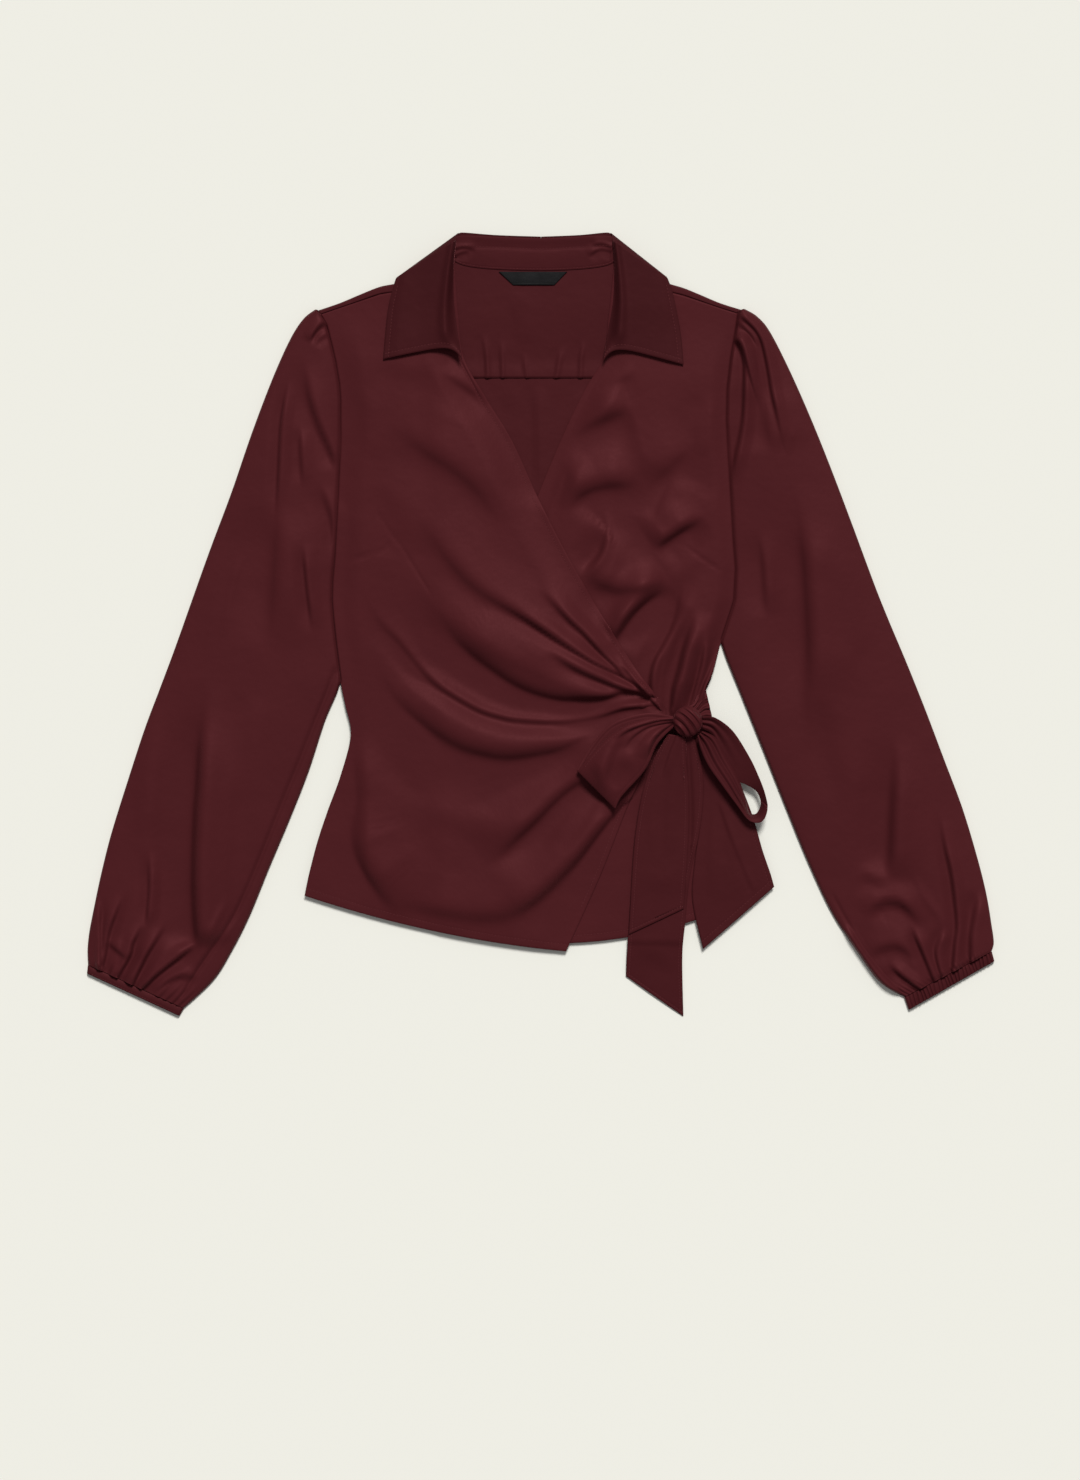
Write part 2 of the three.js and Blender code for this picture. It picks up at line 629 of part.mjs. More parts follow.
sew(
  "collar_right",
  wall(
    strip(
      table(STRIP, [
        [56, 237, LEAF, 128, 233.5, TABLE, 9],
        [60, 262, LEAF + 1, 125.5, 261, TABLE, 4],
        [65, 292, LEAF + 1.5, 120.5, 288, LEAF, 0],
        [66, 322, LEAF + 1.5, 117, 302, LEAF + 0.2, 0],
        [64.5, 343, LEAF + 0.6, 114, 310, LEAF + 0.3, 0],
        [63.5, 351, 3.2, 112.5, 313, 3.2, 0],
        [62, 352, TABLE, 110, 312.5, TABLE, 0],
        [57, 352, TABLE, 97, 303, TABLE, 0],
        [34, 352.5, TABLE, 52, 300, TABLE, 0],
        [SEAM_GAP / 2, 352, TABLE, SEAM_GAP / 2, 297, TABLE, 0],
      ]),
      COLLAR_ROWS,
      COLLAR_COLS,
      { lift: onFront(underHeight) },
    ),
  ),
);

// Collar stand, its inside showing between the fold line and the neck seam
const STAND = TABLE + LAYER;
sew(
  "collar_stand",
  wall(
    strip(
      table(STRIP, [
        [-73, 345.5, STAND, -77.5, 338, STAND, 0],
        [-66, 350, STAND, -72.5, 329, STAND, 0],
        [-40, 350.5, STAND, -50, 321.5, STAND, 0],
        [0, 350, STAND, 0, 320, STAND, 0],
        [30, 350.5, STAND, 40, 321.5, STAND, 0],
        [55, 350, STAND, 62, 328.5, STAND, 0],
        [61.5, 345.5, STAND, 66, 338, STAND, 0],
      ]),
      16,
      3,
    ),
  ),
  WINE_SHADE,
);

// Neck label, sewn under the stand seam
const labelOutline = new THREE.Shape([
  new THREE.Vector2(-38, 317.5), new THREE.Vector2(23.5, 317.5), new THREE.Vector2(12, 305.5), new THREE.Vector2(-25, 305.5),
]);
const labelGeometry = new THREE.ExtrudeGeometry(labelOutline, { depth: LABEL_THICK, bevelEnabled: false });
labelGeometry.translate(0, 0, backHeight(0, 318) + CLOTH / 2 + SEAM_GAP);
sew("neck_label", labelGeometry, LABEL_BLACK);

// Waist tie from the side seam to the knot
sew(
  "waist_tie",
  wall(
    strip(
      table(STRIP, [
        [147.5, -55.5, 4.2, 154, -84, 4.2, 0],
        [143, -60, 5.6, 148.5, -83, 5.6, 0],
        [137.5, -70, 8, 143, -84, 8, 0],
      ]),
      4,
      5,
      { crown: 0.8 },
    ),
  ),
);

// Tie tails, the shorter one on top
sew(
  "tie_tail_lower",
  wall(
    strip(
      table(STRIP, [
        [119, -99, 8.6, 137, -100.2, 8.6, 0],
        [110, -125, 8.2, 144, -125, 7.2, 0],
        [98, -155, 8, 146, -150, 6.4, 0],
        [88, -195, 6.6, 142.5, -185, 6, 0],
        [81.5, -235, 5, 133.5, -228, 5.6, 0],
        [78.5, -275, 4.3, 129.5, -268, 4.5, 0],
        [77, -300, 3, 127, -298, 3, 0],
        [76.5, -316, 1.6, 128, -352, 0.8, 0],
      ]),
      18,
      4,
    ),
  ),
);
sew(
  "tie_tail_upper",
  wall(
    strip(
      table(STRIP, [
        [114, -98, 11.2, 129.5, -100.8, 11.2, 0],
        [101, -122, 10.4, 130.5, -122, 10.2, 0],
        [92, -148, 10, 132.5, -150, 9, 0],
        [86, -180, 8.9, 132.5, -180, 8.2, 0],
        [82.5, -215, 7.5, 131, -215, 7.8, 0],
        [79, -278, 6.2, 128, -255, 6.8, 0],
      ]),
      14,
      4,
    ),
  ),
);

// Bow loops: the sash leaves the knot low, turns at the loop's end and comes back on top
sew(
  "bow_loop_left",
  wall(
    strip(
      table(STRIP, [
        [118.1, -83, 11, 119.1, -93, 11, 0],
        [94, -82, 12.4, 101, -106, 12.4, 0],
        [66, -93, 12.6, 88, -131, 12.6, 0],
        [47, -112, 12.8, 70, -152, 12.6, 0],
        [33.5, -130, 15, 65, -163.5, 15, 0],
        [47, -113, 18.6, 71, -154, 18, 0],
        [70, -92, 20, 92, -130, 19.4, 0],
        [94, -83, 20, 103, -107, 19.6, 0],
        [118, -82.5, 16.4, 119.4, -91, 16, 0],
      ]),
      24,
      6,
    ),
  ),
);
sew(
  "bow_loop_right",
  wall(
    strip(
      table(STRIP, [
        [144.7, -82.5, 15, 144.7, -93, 12, 0],
        [156, -83.5, 17, 156, -97, 11.5, 0],
        [172, -95.5, 18, 164, -109, 11, 0],
        [187, -119, 18, 178, -134, 10.6, 0],
        [198, -145, 17, 190, -149, 10, 0],
        [203, -165, 15.4, 198, -161, 9.6, 0],
        [197, -177, 15, 193, -169.5, 9.4, 0],
        [186.5, -175.5, 15.6, 186.5, -168.5, 9.6, 0],
        [176, -162.5, 16.6, 182, -154, 10, 0],
        [163, -145, 17, 174, -136.5, 10.6, 0],
        [150, -126.5, 17, 164, -119.5, 11, 0],
        [143, -111, 16, 153, -102, 12, 0],
        [140.4, -100, 15, 144.4, -95.5, 13, 0],
      ]),
      30,
      4,
    ),
  ),
);

// Knot: a soft wrapped pillow with a groove on each side of its band
const knotGeometry = new THREE.SphereGeometry(0.5, 16, 11);
knotGeometry.deleteAttribute("normal");
knotGeometry.deleteAttribute("uv");
const knotPoints = knotGeometry.getAttribute("position");
for (let i = 0; i < knotPoints.count; i++) {
  const [x, y, z] = [knotPoints.getX(i), knotPoints.getY(i), knotPoints.getZ(i)];
  const groove = 1 - 0.1 * Math.exp(-((Math.abs(x) - 0.3) ** 2) / 0.006);
  knotPoints.setXYZ(i, KNOT.x + x * KNOT.across * groove, KNOT.y + y * KNOT.along * groove, KNOT.z + z * KNOT.high * groove);
}
sew("bow_knot", knotGeometry);

export default group;
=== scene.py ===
import math

import bmesh
import bpy
import numpy as np
from mathutils import Matrix, Vector


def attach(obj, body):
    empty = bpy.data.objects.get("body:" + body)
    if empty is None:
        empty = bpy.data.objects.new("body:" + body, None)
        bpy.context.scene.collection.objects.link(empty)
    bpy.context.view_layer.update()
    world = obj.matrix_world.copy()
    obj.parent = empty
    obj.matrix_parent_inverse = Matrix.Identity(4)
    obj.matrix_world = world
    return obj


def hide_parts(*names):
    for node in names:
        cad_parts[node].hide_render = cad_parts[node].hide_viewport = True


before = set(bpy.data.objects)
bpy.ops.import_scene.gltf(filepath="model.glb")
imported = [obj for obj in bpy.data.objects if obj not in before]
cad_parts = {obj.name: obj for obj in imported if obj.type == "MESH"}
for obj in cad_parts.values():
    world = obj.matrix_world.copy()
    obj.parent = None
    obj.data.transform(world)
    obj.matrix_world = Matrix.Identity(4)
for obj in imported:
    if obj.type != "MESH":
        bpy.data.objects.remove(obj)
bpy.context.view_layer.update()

# Lengths are millimetres, as in the part's source, until a mesh is made
MM = 0.001
CLOTH = 1.4  # wall of the solid cloth
SEAM_GAP = 0.3
LAYER = CLOTH + SEAM_GAP  # from one laid layer to the next
TABLE = CLOTH / 2  # middle of a layer on the table
FABRIC = 0.7  # thickness of the satin as shown
ON_TOP = 1.0  # from the middle of one shown layer to the next where they touch
UNDER_PUFF = 2.6  # how far each part stands up between its seams
OVER_PUFF = 3.0
SLEEVE_PUFF = 3.4
SEAM_RISE = 1.5  # how far the cloth stands above the seams that it turns down into
SEAM_DIP = 2.5  # how far it turns down there
YOKE_SEAM_Y = 222

# Stitch lines inside the edges that are turned in
BACK_HEM = 7
FRONT_HEM = 6.6
UNDER_EDGE = 5
OVER_EDGE = 4.6
PANEL_EDGE = 4
COLLAR_EDGE = 4.6
SASH_EDGE = 3.2
SASH_PITCH = 2.6  # from one stitch to the next


def add_object(name, data):
    thing = bpy.data.objects.new(name, data)
    bpy.context.scene.collection.objects.link(thing)
    return thing


def mesh_of(shape, name):
    """The mesh of a bmesh, which is freed."""
    mesh = bpy.data.meshes.new(name)
    shape.to_mesh(mesh)
    shape.free()
    return mesh


def shade_smooth(mesh):
    mesh.polygons.foreach_set("use_smooth", np.ones(len(mesh.polygons), bool))


def add_wall(piece, thick, offset):
    wall = piece.modifiers.new("cloth wall", "SOLIDIFY")
    wall.thickness = thick * MM
    wall.offset = offset


# Camera straight above the garment: a pixel of the photo is 0.9 mm, and x and y are 0 at ZERO_PIXEL
PIXEL = 0.9
PHOTO_WIDE, PHOTO_HIGH = 1080, 1480
ZERO_PIXEL = (541, 625)
LENS = 100
SENSOR = 36
camera_data = bpy.data.cameras.new("camera")
camera_data.lens = LENS
camera_data.sensor_width = SENSOR
camera_data.clip_end = 50
camera = add_object("camera", camera_data)
camera.location = (
    (PHOTO_WIDE / 2 - ZERO_PIXEL[0]) * PIXEL * MM,
    (ZERO_PIXEL[1] - PHOTO_HIGH / 2) * PIXEL * MM,
    PHOTO_HIGH * PIXEL * LENS / SENSOR * MM,
)
bpy.context.scene.camera = camera


def smooth(start, end, value):
    """0 before the start, 1 past the end, and a soft rise between them."""
    share = np.clip((value - start) / (end - start), 0, 1)
    return share * share * (3 - 2 * share)


def sample(rows, shares):
    """Catmull-Rom values of every column of a table at shares of its length."""
    rows = np.array(rows, float)
    at = np.clip(np.asarray(shares, float), 0, 1) * (len(rows) - 1)
    k = np.minimum(at.astype(int), len(rows) - 2)
    t = (at - k)[..., None]
    a, b, c, d = (rows[np.clip(k + step, 0, len(rows) - 1)] for step in (-1, 0, 1, 2))
    slope_in = (c - a) / 2
    slope_out = (d - b) / 2
    rise = c - b
    second = 3 * rise - 2 * slope_in - slope_out
    third = slope_in + slope_out - 2 * rise
    return b + slope_in * t + second * t**2 + third * t**3


def spread(count, start=(), end=(), length=1.0):
    """Even shares from 0 to 1, with more lines at the given distances from either end."""
    extra_start = np.array(start, float) / length
    extra_end = 1 - np.array(end, float) / length
    return np.unique(np.round(np.concatenate([np.linspace(0, 1, count + 1), extra_start, extra_end]), 6))


def side_line(rows):
    """x of the line where body and sleeve meet, for a height y."""
    xs = [x for x, y in reversed(rows)]
    ys = [y for x, y in reversed(rows)]
    return lambda y: np.interp(y, ys, xs)


# Armholes and side seams, from the shoulder down: x, y
LEFT_ROWS = [
    (-200, 281), (-193.5, 270), (-189, 252), (-185.5, 237), (-182, 216), (-181, 202), (-181, 166),
    (-183.5, 112), (-186, 62), (-188, 40), (-188.5, 22), (-187, 4), (-185, -14), (-180, -53),
]
RIGHT_ROWS = [
    (178, 281), (175, 261), (171, 238), (168, 211), (167.5, 184), (168.5, 166), (171, 121), (173.5, 76),
    (175.5, 50), (174, 22), (170, 9), (162, -15),
]
LEFT_END = LEFT_ROWS[-1][1]
RIGHT_END = RIGHT_ROWS[-1][1]
left_side = side_line(LEFT_ROWS)
right_side = side_line(RIGHT_ROWS)


def relief(folds, x, y):
    """Height of folds placed one by one. A step has its crest on the left as its line is walked and its
    trough on the right, a crease is a sharper step, and a ridge has its crest on the line."""
    height = np.zeros(x.shape)
    for kind, size, width, end_width, start_fade, end_fade, points in folds:
        line = sample(points, np.linspace(0, 1, 5 * len(points) - 4))
        reach = 5 * max(width, end_width)
        low = line.min(0) - reach
        high = line.max(0) + reach
        near = (x > low[0]) & (x < high[0]) & (y > low[1]) & (y < high[1])
        if not near.any():
            continue
        px = x[near][:, None]
        py = y[near][:, None]
        ax, ay = line[:-1].T
        dx, dy = np.diff(line, axis=0).T
        t = np.clip(((px - ax) * dx + (py - ay) * dy) / (dx * dx + dy * dy), 0, 1)
        away = np.hypot(px - ax - t * dx, py - ay - t * dy)
        pick = away.argmin(1)
        every = np.arange(len(pick))
        side = np.sign(dx[pick] * (py[:, 0] - ay[pick]) - dy[pick] * (px[:, 0] - ax[pick]))
        along = (pick + t[every, pick]) / len(dx)
        n = away[every, pick] / (width + (end_width - width) * along)
        fade = np.ones(len(n))
        if start_fade:
            fade *= smooth(0, start_fade, along)
        if end_fade:
            fade *= smooth(0, end_fade, 1 - along)
        bell = np.exp(-n * n / 2)
        if kind == "ridge":
            shape = bell
        elif kind == "step":
            shape = side * n * bell * 1.65
        else:
            shape = side * n * np.exp(1 - n) * smooth(5, 3, n)
        height[near] += size * fade * shape
    return height


def settle(height, depth):
    """Folds whose troughs stop softly at a depth, where the layer below lies."""
    deep = np.maximum(-height, 0) / depth
    return np.where(height < 0, -depth * np.tanh(deep), height)


def neck_rise(x, y):
    """The collar's turned part lies below the yoke and the fronts, and lifts them."""
    return LAYER * smooth(228, 292, y) * smooth(180, 114, np.abs(x + 7))


def back_height(x, y):
    return TABLE + neck_rise(x, y)


# Folds: kind, height, width, width at the end, share that fades in, share that fades out, line
UNDER_FOLDS = [
    ("crease", 4.8, 16, 11, 0.35, 0.35, [(10, 160), (21.5, 167.5), (35, 175.5), (51.5, 182.5), (71, 190),
        (82, 193.5)]),
    ("crease", 0.8, 7, 7, 0.4, 0.4, [(44, 213.5), (89, 225)]),
    ("crease", 4.8, 13, 13, 0.35, 0.35, [(22.5, 100), (31.5, 112.5), (44, 120.5), (58.5, 124),
        (74.5, 125), (92.5, 127)]),
    ("ridge", 1.2, 2.6, 2.6, 0.3, 0.3, [(51.5, 110.5), (58.5, 101), (60.5, 85.5), (58.5, 72), (53, 58.5),
        (46, 47), (38.5, 34)]),
    ("crease", 3.0, 6, 6, 0.35, 0.35, [(58.5, 90), (56.5, 72), (51.5, 61), (43, 52), (33.5, 45)]),
    ("crease", 3.4, 9, 9, 0.3, 0.3, [(40.5, 43), (56, 34), (73, 30.5), (93.5, 32.5), (114.5, 40.5)]),
    ("crease", 4.5, 6, 9, 0.22, 0.35, [(61.5, -21), (69.5, -7), (78.5, 6.5), (89, 16), (102.5, 24.5),
        (121.5, 31.5)]),
    ("step", 6.2, 5, 13, 0.45, 0.3, [(68, -17), (76, -4), (85, 8), (101, 24), (118, 36)]),
    ("crease", 4.8, 7.5, 6, 0.3, 0.4, [(101.5, 67.5), (111.5, 74.5), (122.5, 82), (134, 89),
        (148.5, 96.5)]),
    ("crease", 2.0, 12, 12, 0.4, 0.4, [(121.5, 139.5), (110.5, 117), (101, 91)]),
    ("crease", 2.0, 12, 12, 0.4, 0.4, [(91, 119.5), (107, 133), (123.5, 148.5), (141.5, 165.5)]),
    ("crease", 1.2, 2.5, 2.5, 0.3, 0.3, [(5.5, 90), (13.5, 112.5), (22.5, 137.5)]),
    ("ridge", -0.6, 0.8, 0.8, 0.1, 0.1, [(114.5, 72), (127, 72), (143, 61), (163, 47.5)]),
    ("crease", 5.0, 5, 2.5, 0.35, 0, [(128.5, 40.5), (122.5, 18), (117, -1), (109, -18), (101.5, -32.5),
        (98, -47.5), (98, -67.5), (100, -78.5)]),
    ("crease", 6.4, 8, 3, 0.35, 0, [(139.5, 15.5), (134, -4.5), (128.5, -22.5), (123.5, -42.5),
        (119, -58.5), (117, -74.5)]),
    ("crease", 3.8, 4, 2, 0.35, 0, [(148.5, -4.5), (145, -31.5), (140.5, -49.5), (135, -69.5)]),
    ("crease", 3.2, 3.4, 2, 0.35, 0, [(161, -13.5), (155, -33.5), (147.5, -51.5), (140.5, -69.5)]),
    ("ridge", -0.9, 0.8, 0.8, 0, 0.4, [(60, 242), (53.5, 226), (45, 210), (35, 190)]),
    ("step", 0.7, 10, 10, 0.3, 0.3, [(150.5, 205), (140.5, 180), (137.5, 150.5)]),
    ("step", 0.7, 9, 9, 0.3, 0.3, [(10, -229.5), (60.5, -222.5), (119.5, -226)]),
    ("crease", 2.2, 16, 8, 0.4, 0, [(143, 58.5), (127, 13.5), (111.5, -27), (105.5, -67.5)]),
]


def wrap_edge_x(y):
    """x of the wrap's free edge, roughly, for a height y."""
    down = smooth(114, -80, y)
    return -4 + 118 * down - 6 * np.sin(math.pi * down)


def armhole_dip(x, y):
    """The body's cloth turns down steeply into the armhole seams."""
    at_left = smooth(1.9, 0.2, x - left_side(y)) * smooth(LEFT_END - 1, LEFT_END + 4, y)
    at_right = smooth(1.9, 0.2, right_side(y) - x) * smooth(RIGHT_END - 1, RIGHT_END + 4, y)
    return SEAM_DIP * (at_left + at_right)


def under_height(x, y):
    """Middle of the left front's cloth, which is flat where the wrap hides it."""
    shown = smooth(-34, 4, x - wrap_edge_x(y))
    middle = smooth(0, 60, x + 20) * smooth(0, 18, right_side(y) - x)
    middle = middle * smooth(-96, -50, y) * smooth(275, 215, y)
    fold = settle(relief(UNDER_FOLDS, x, y), 3.5)
    puffed = shown * middle * (UNDER_PUFF + fold) + SEAM_RISE
    return TABLE + LAYER + neck_rise(x, y) + puffed - armhole_dip(x, y)


# The highest points of the left front near each place, so that the wrap clears its folds
CREST_STEP = 3
CREST_X = np.arange(-130, 200, CREST_STEP)
CREST_Y = np.arange(-312, 345, CREST_STEP)


def near_crest():
    """The heights of the left front with its crests widened by three steps and softened."""
    height = under_height(*np.meshgrid(CREST_X, CREST_Y, indexing="ij"))
    for combine in (np.max, np.max, np.max, np.mean, np.mean):
        padded = np.pad(height, 1, mode="edge")
        rows, cols = height.shape
        around = [padded[i:i + rows, j:j + cols] for i in range(3) for j in range(3)]
        height = combine(around, axis=0)
    return height


CREST = near_crest()


def crest_height(x, y):
    at_x = np.clip((x - CREST_X[0]) / CREST_STEP, 0, len(CREST_X) - 1.001)
    at_y = np.clip((y - CREST_Y[0]) / CREST_STEP, 0, len(CREST_Y) - 1.001)
    i = at_x.astype(int)
    j = at_y.astype(int)
    s = at_x - i
    t = at_y - j
    low = CREST[i, j] * (1 - s) + CREST[i + 1, j] * s
    high = CREST[i, j + 1] * (1 - s) + CREST[i + 1, j + 1] * s
    return low * (1 - t) + high * t


OVER_FOLDS = [
    ("crease", 3.4, 28, 20, 0.4, 0.3, [(-136, 58.5), (-100, 18), (-64, -13.5), (-19, -38.5), (35, -58.5),
        (71, -66)]),
    ("crease", 2.4, 10, 8, 0.35, 0.35, [(-113.5, 101.5), (-82, 56), (-55, 29.5), (-19, 8), (21.5, -17)]),
    ("crease", 2.8, 3.4, 2.4, 0.35, 0, [(-55, 28), (-27, 12.5), (-8, 1), (11, -11.5), (29.5, -23.5),
        (49, -35), (72, -46), (89, -56.5)]),
    ("crease", 6.2, 14, 8, 0.3, 0.25, [(-94.5, 17), (-80, -8), (-65, -24.5), (-46, -39.5), (-19.5, -56.5),
        (11, -66), (35, -67), (57.5, -66), (84, -64.5)]),
    ("crease", 2.6, 4, 2, 0.35, 0, [(21.5, -66.5), (44, -66.5), (59.5, -65), (73, -61), (85.5, -60.5),
        (96, -63)]),
    ("crease", 3.6, 5, 3, 0.3, 0, [(3.5, -22.5), (28, -38), (53, -49.5), (71, -56.5), (87.5, -62)]),
    ("crease", 2.2, 4.5, 3, 0.25, 0, [(-159.5, 28), (-145, 2.5), (-129.5, -14.5), (-118, -29),
        (-107, -42.5), (-95.5, -53), (-83.5, -61.5), (-57.5, -76.5), (-38.5, -83), (-19, -86.5),
        (19, -88), (48.5, -84), (72, -76.5), (89, -74)]),
    ("crease", 6.4, 18, 12, 0.3, 0.25, [(-155.5, -13.5), (-137.5, -54), (-118, -78.5), (-92, -99),
        (-73, -110), (-57.5, -115), (-38.5, -119), (-19, -119), (3.5, -115), (19, -110.5), (39.5, -101),
        (62, -87.5)]),
    ("crease", 6.2, 13, 13, 0.35, 0.35, [(-178, -157.5), (-172, -191.5), (-163, -213.5), (-148.5, -236.5),
        (-123.5, -263.5)]),
    ("crease", 2.2, 10, 10, 0.35, 0.35, [(-172, -101.5), (-166.5, -133), (-164.5, -160), (-170, -198)]),
    ("crease", 5.6, 10, 10, 0.35, 0, [(-49.5, -217), (-27, -197), (-4.5, -176.5), (11, -161),
        (29.5, -146), (46, -137.5)]),
    ("step", 0.9, 7, 7, 0.3, 0, [(8, -201.5), (26, -183.5), (44, -157.5), (55, -146)]),
    ("crease", 6.0, 13, 9, 0.3, 0, [(-64, -267.5), (-32.5, -262), (-10, -252), (9, -236.5),
        (23.5, -221.5), (35, -209), (49, -191.5), (64, -173.5), (76.5, -160)]),
    ("crease", 2.2, 10, 10, 0.35, 0.35, [(-131.5, -247.5), (-91, -259), (-55, -263.5), (-23.5, -261)]),
    ("crease", 2.6, 12, 12, 0.35, 0.35, [(-137.5, 180), (-104.5, 155.5), (-77.5, 137.5), (-55, 117),
        (-32.5, 85.5)]),
    ("crease", 2.0, 7, 7, 0.4, 0.4, [(-91, 227.5), (-74.5, 217), (-62, 209), (-44, 197)]),
    ("ridge", -0.6, 0.8, 0.8, 0.1, 0.2, [(-186.5, 56.5), (-163, 60.5), (-145, 65), (-133, 75.5)]),
    ("ridge", -0.5, 0.8, 0.8, 0.1, 0.1, [(-149.5, 102.5), (-140.5, 91), (-133, 80), (-125, 70),
        (-112.5, 49.5), (-97, 25)]),
    ("ridge", -0.9, 0.8, 0.8, 0, 0.4, [(-72, 236.5), (-66.5, 226), (-60, 214), (-55, 204), (-48, 192)]),
    ("step", 0.7, 14, 14, 0.3, 0.3, [(-150.5, 130.5), (-128, 100), (-118, 60.5)]),
    ("step", 0.6, 12, 12, 0.3, 0.3, [(-110, -170), (-70, -180), (-29.5, -200)]),
    ("step", 0.5, 10, 10, 0.3, 0.3, [(-150.5, 238.5), (-119.5, 225), (-92, 227.5)]),
    ("step", 0.5, 9, 9, 0.3, 0.3, [(-164.5, 209.5), (-158.5, 180), (-162, 150.5)]),
]
EDGE_FOLDS = [
    ("crease", 2.8, 3.6, 2.4, 0.3, 0.1, [(-3.5, 33.5), (13.5, 16), (26, 3), (38, -8), (49, -20),
        (56.5, -28), (64, -35), (76.5, -47.5)]),
    ("ridge", 0.8, 1.5, 1.5, 0.3, 0, [(49.5, -8), (59.5, -18), (71, -28), (82, -39.5), (90, -51.5),
        (98, -62)]),
    ("crease", 1.6, 2.2, 1.8, 0.3, 0, [(65.5, -29.5), (80, -46), (93.5, -62), (105.5, -74.5)]),
]
# The wrap's free edge, from the hem up: x, y
OVER_RIGHT = [
    (22.5, -293.5), (53, -226), (76.5, -166.5), (96, -123), (109, -92), (112, -76), (102.5, -63),
    (82, -35), (53, 11.5), (24, 62), (-2.5, 114), (-26, 165.5), (-49.5, 204),
]


def over_right(y):
    return np.interp(y, [p[1] for p in OVER_RIGHT], [p[0] for p in OVER_RIGHT])


def over_inside(x, y):
    """0 at the wrap's seams and hem, which slants, and 1 away from them."""
    off_hem = smooth(-300, -270, y + 0.14 * (x - 22))
    return smooth(0, 26, x - left_side(y)) * off_hem * smooth(290, 225, y)


def over_base(x, y):
    """The wrap without its folds: it lies over the left front's folds, and the knot gathers it."""
    laid = TABLE + LAYER + neck_rise(x, y) + SEAM_RISE
    on_under = smooth(-112, -84, x)
    base = laid + on_under * (crest_height(x, y) + LAYER + 0.1 - laid) - armhole_dip(x, y)
    gather = 1.5 * np.exp(-((x - 104) ** 2) / 1800 - (y + 74) ** 2 / 1500)
    gather = gather + 3.6 * np.exp(-((x - 28) ** 2) / 3600 - (y + 8) ** 2 / 1500)
    return base + gather + over_inside(x, y) * OVER_PUFF


def over_height(x, y):
    """Middle of the wrap's cloth."""
    fold = settle(relief(OVER_FOLDS, x, y), OVER_PUFF + 1.2)
    height = over_base(x, y) + over_inside(x, y) * fold
    # Nothing stands as high as the bow that lies over it
    from_bow = np.hypot(np.maximum(34 - x, 0), np.maximum(np.maximum(y + 78, -166 - y), 0))
    room = 9.8 + 7 * smooth(0, 22, from_bow)
    above = np.maximum(height - room, 0)
    return np.where(height > room, room + 2.2 * np.tanh(above / 2.2), height)


def fronts_height(x, y):
    return np.where(x < over_right(y) + 4, over_height(x, y), under_height(x, y))


def lengths(grid, axis):
    """Distance along the rows or columns of a grid of points, from their first point."""
    steps = np.linalg.norm(np.diff(grid, axis=axis), axis=2)
    start = np.zeros_like(np.take(steps, [0], axis=axis))
    return np.cumsum(np.concatenate([start, steps], axis=axis), axis=axis)


def away_from(grid, side):
    """Distance of every grid point from one side of its piece."""
    axis = 0 if side in ("top", "bottom") else 1
    along = lengths(grid, axis)
    if side in ("top", "left"):
        return along
    return np.take(along, [-1], axis=axis) - along


def inside_of(grid, side, inset):
    """The line on a piece that runs inset mm inside one of its sides."""
    turned = {
        "top": grid.swapaxes(0, 1),
        "bottom": grid[::-1].swapaxes(0, 1),
        "left": grid,
        "right": grid[:, ::-1],
    }
    path = []
    for line in turned[side]:
        steps = np.r_[0, np.cumsum(np.linalg.norm(np.diff(line[:60], axis=0), axis=1))]
        path.append([np.interp(inset, steps, line[:60, k]) for k in range(3)])
    return np.array(path)


def hem(grid, side, width, rise=0.12, groove=0.16):
    """A turned hem: the cloth is thicker up to its stitch line, which sinks in."""
    away = away_from(grid, side)
    grid[..., 2] += rise * smooth(width + 0.8, width - 0.8, away)
    grid[..., 2] -= groove * np.exp(-(((away - width) / 0.7) ** 2))
    grid[..., 2] -= 0.3 * smooth(1.2, 0, away)


# Where a grid has extra lines, in mm from its edge
SEAM_LINES = (0.4, 0.9, 1.4, 1.9)
HEM_LINES = (0.5, 1.2, 2.5, 4, 5.2, 6, 6.6, 7.2, 8, 9.2, 11)
EDGE_LINES = (0.4, 1, 1.8, 2.6, 3.2, 3.8, 4.6, 6)


def cloth(name, node, grid, thick=FABRIC, finish="satin", closed=False):
    """A piece of cloth: a flat grid put in the place of its points, with a UV map in metres of cloth."""
    rows = grid.shape[0] - 1
    cols = grid.shape[1] - 1
    shape = bmesh.new()
    bmesh.ops.create_grid(shape, x_segments=cols, y_segments=rows, size=0.5)
    mesh = mesh_of(shape, name)
    flat = np.zeros(3 * len(mesh.vertices))
    mesh.vertices.foreach_get("co", flat)
    flat = flat.reshape(-1, 3)
    col = np.rint((flat[:, 0] + 0.5) * cols).astype(int)
    row = np.rint((0.5 - flat[:, 1]) * rows).astype(int)
    mesh.vertices.foreach_set("co", (grid[row, col] * MM).ravel())
    corners = np.zeros(len(mesh.loops), int)
    mesh.loops.foreach_get("vertex_index", corners)
    across = lengths(grid, 1)[row, col] * MM
    along = lengths(grid, 0)[row, col] * MM
    uv = mesh.uv_layers.new(name="cloth")
    uv.data.foreach_set("uv", np.stack([across, along], 1)[corners].ravel())
    if closed:
        shape = bmesh.new()
        shape.from_mesh(mesh)
        bmesh.ops.remove_doubles(shape, verts=shape.verts, dist=1e-6)
        shape.to_mesh(mesh)
        shape.free()
    shade_smooth(mesh)
    mesh.update()
    piece = add_object(name, mesh)
    add_wall(piece, thick, 0)
    dress(piece, node, finish)


def dress(piece, node, finish):
    """Gives a piece its finish and lets it take the place of a solid."""
    piece.data.materials.append(MATERIALS[finish])
    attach(piece, "root")
    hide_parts(node)


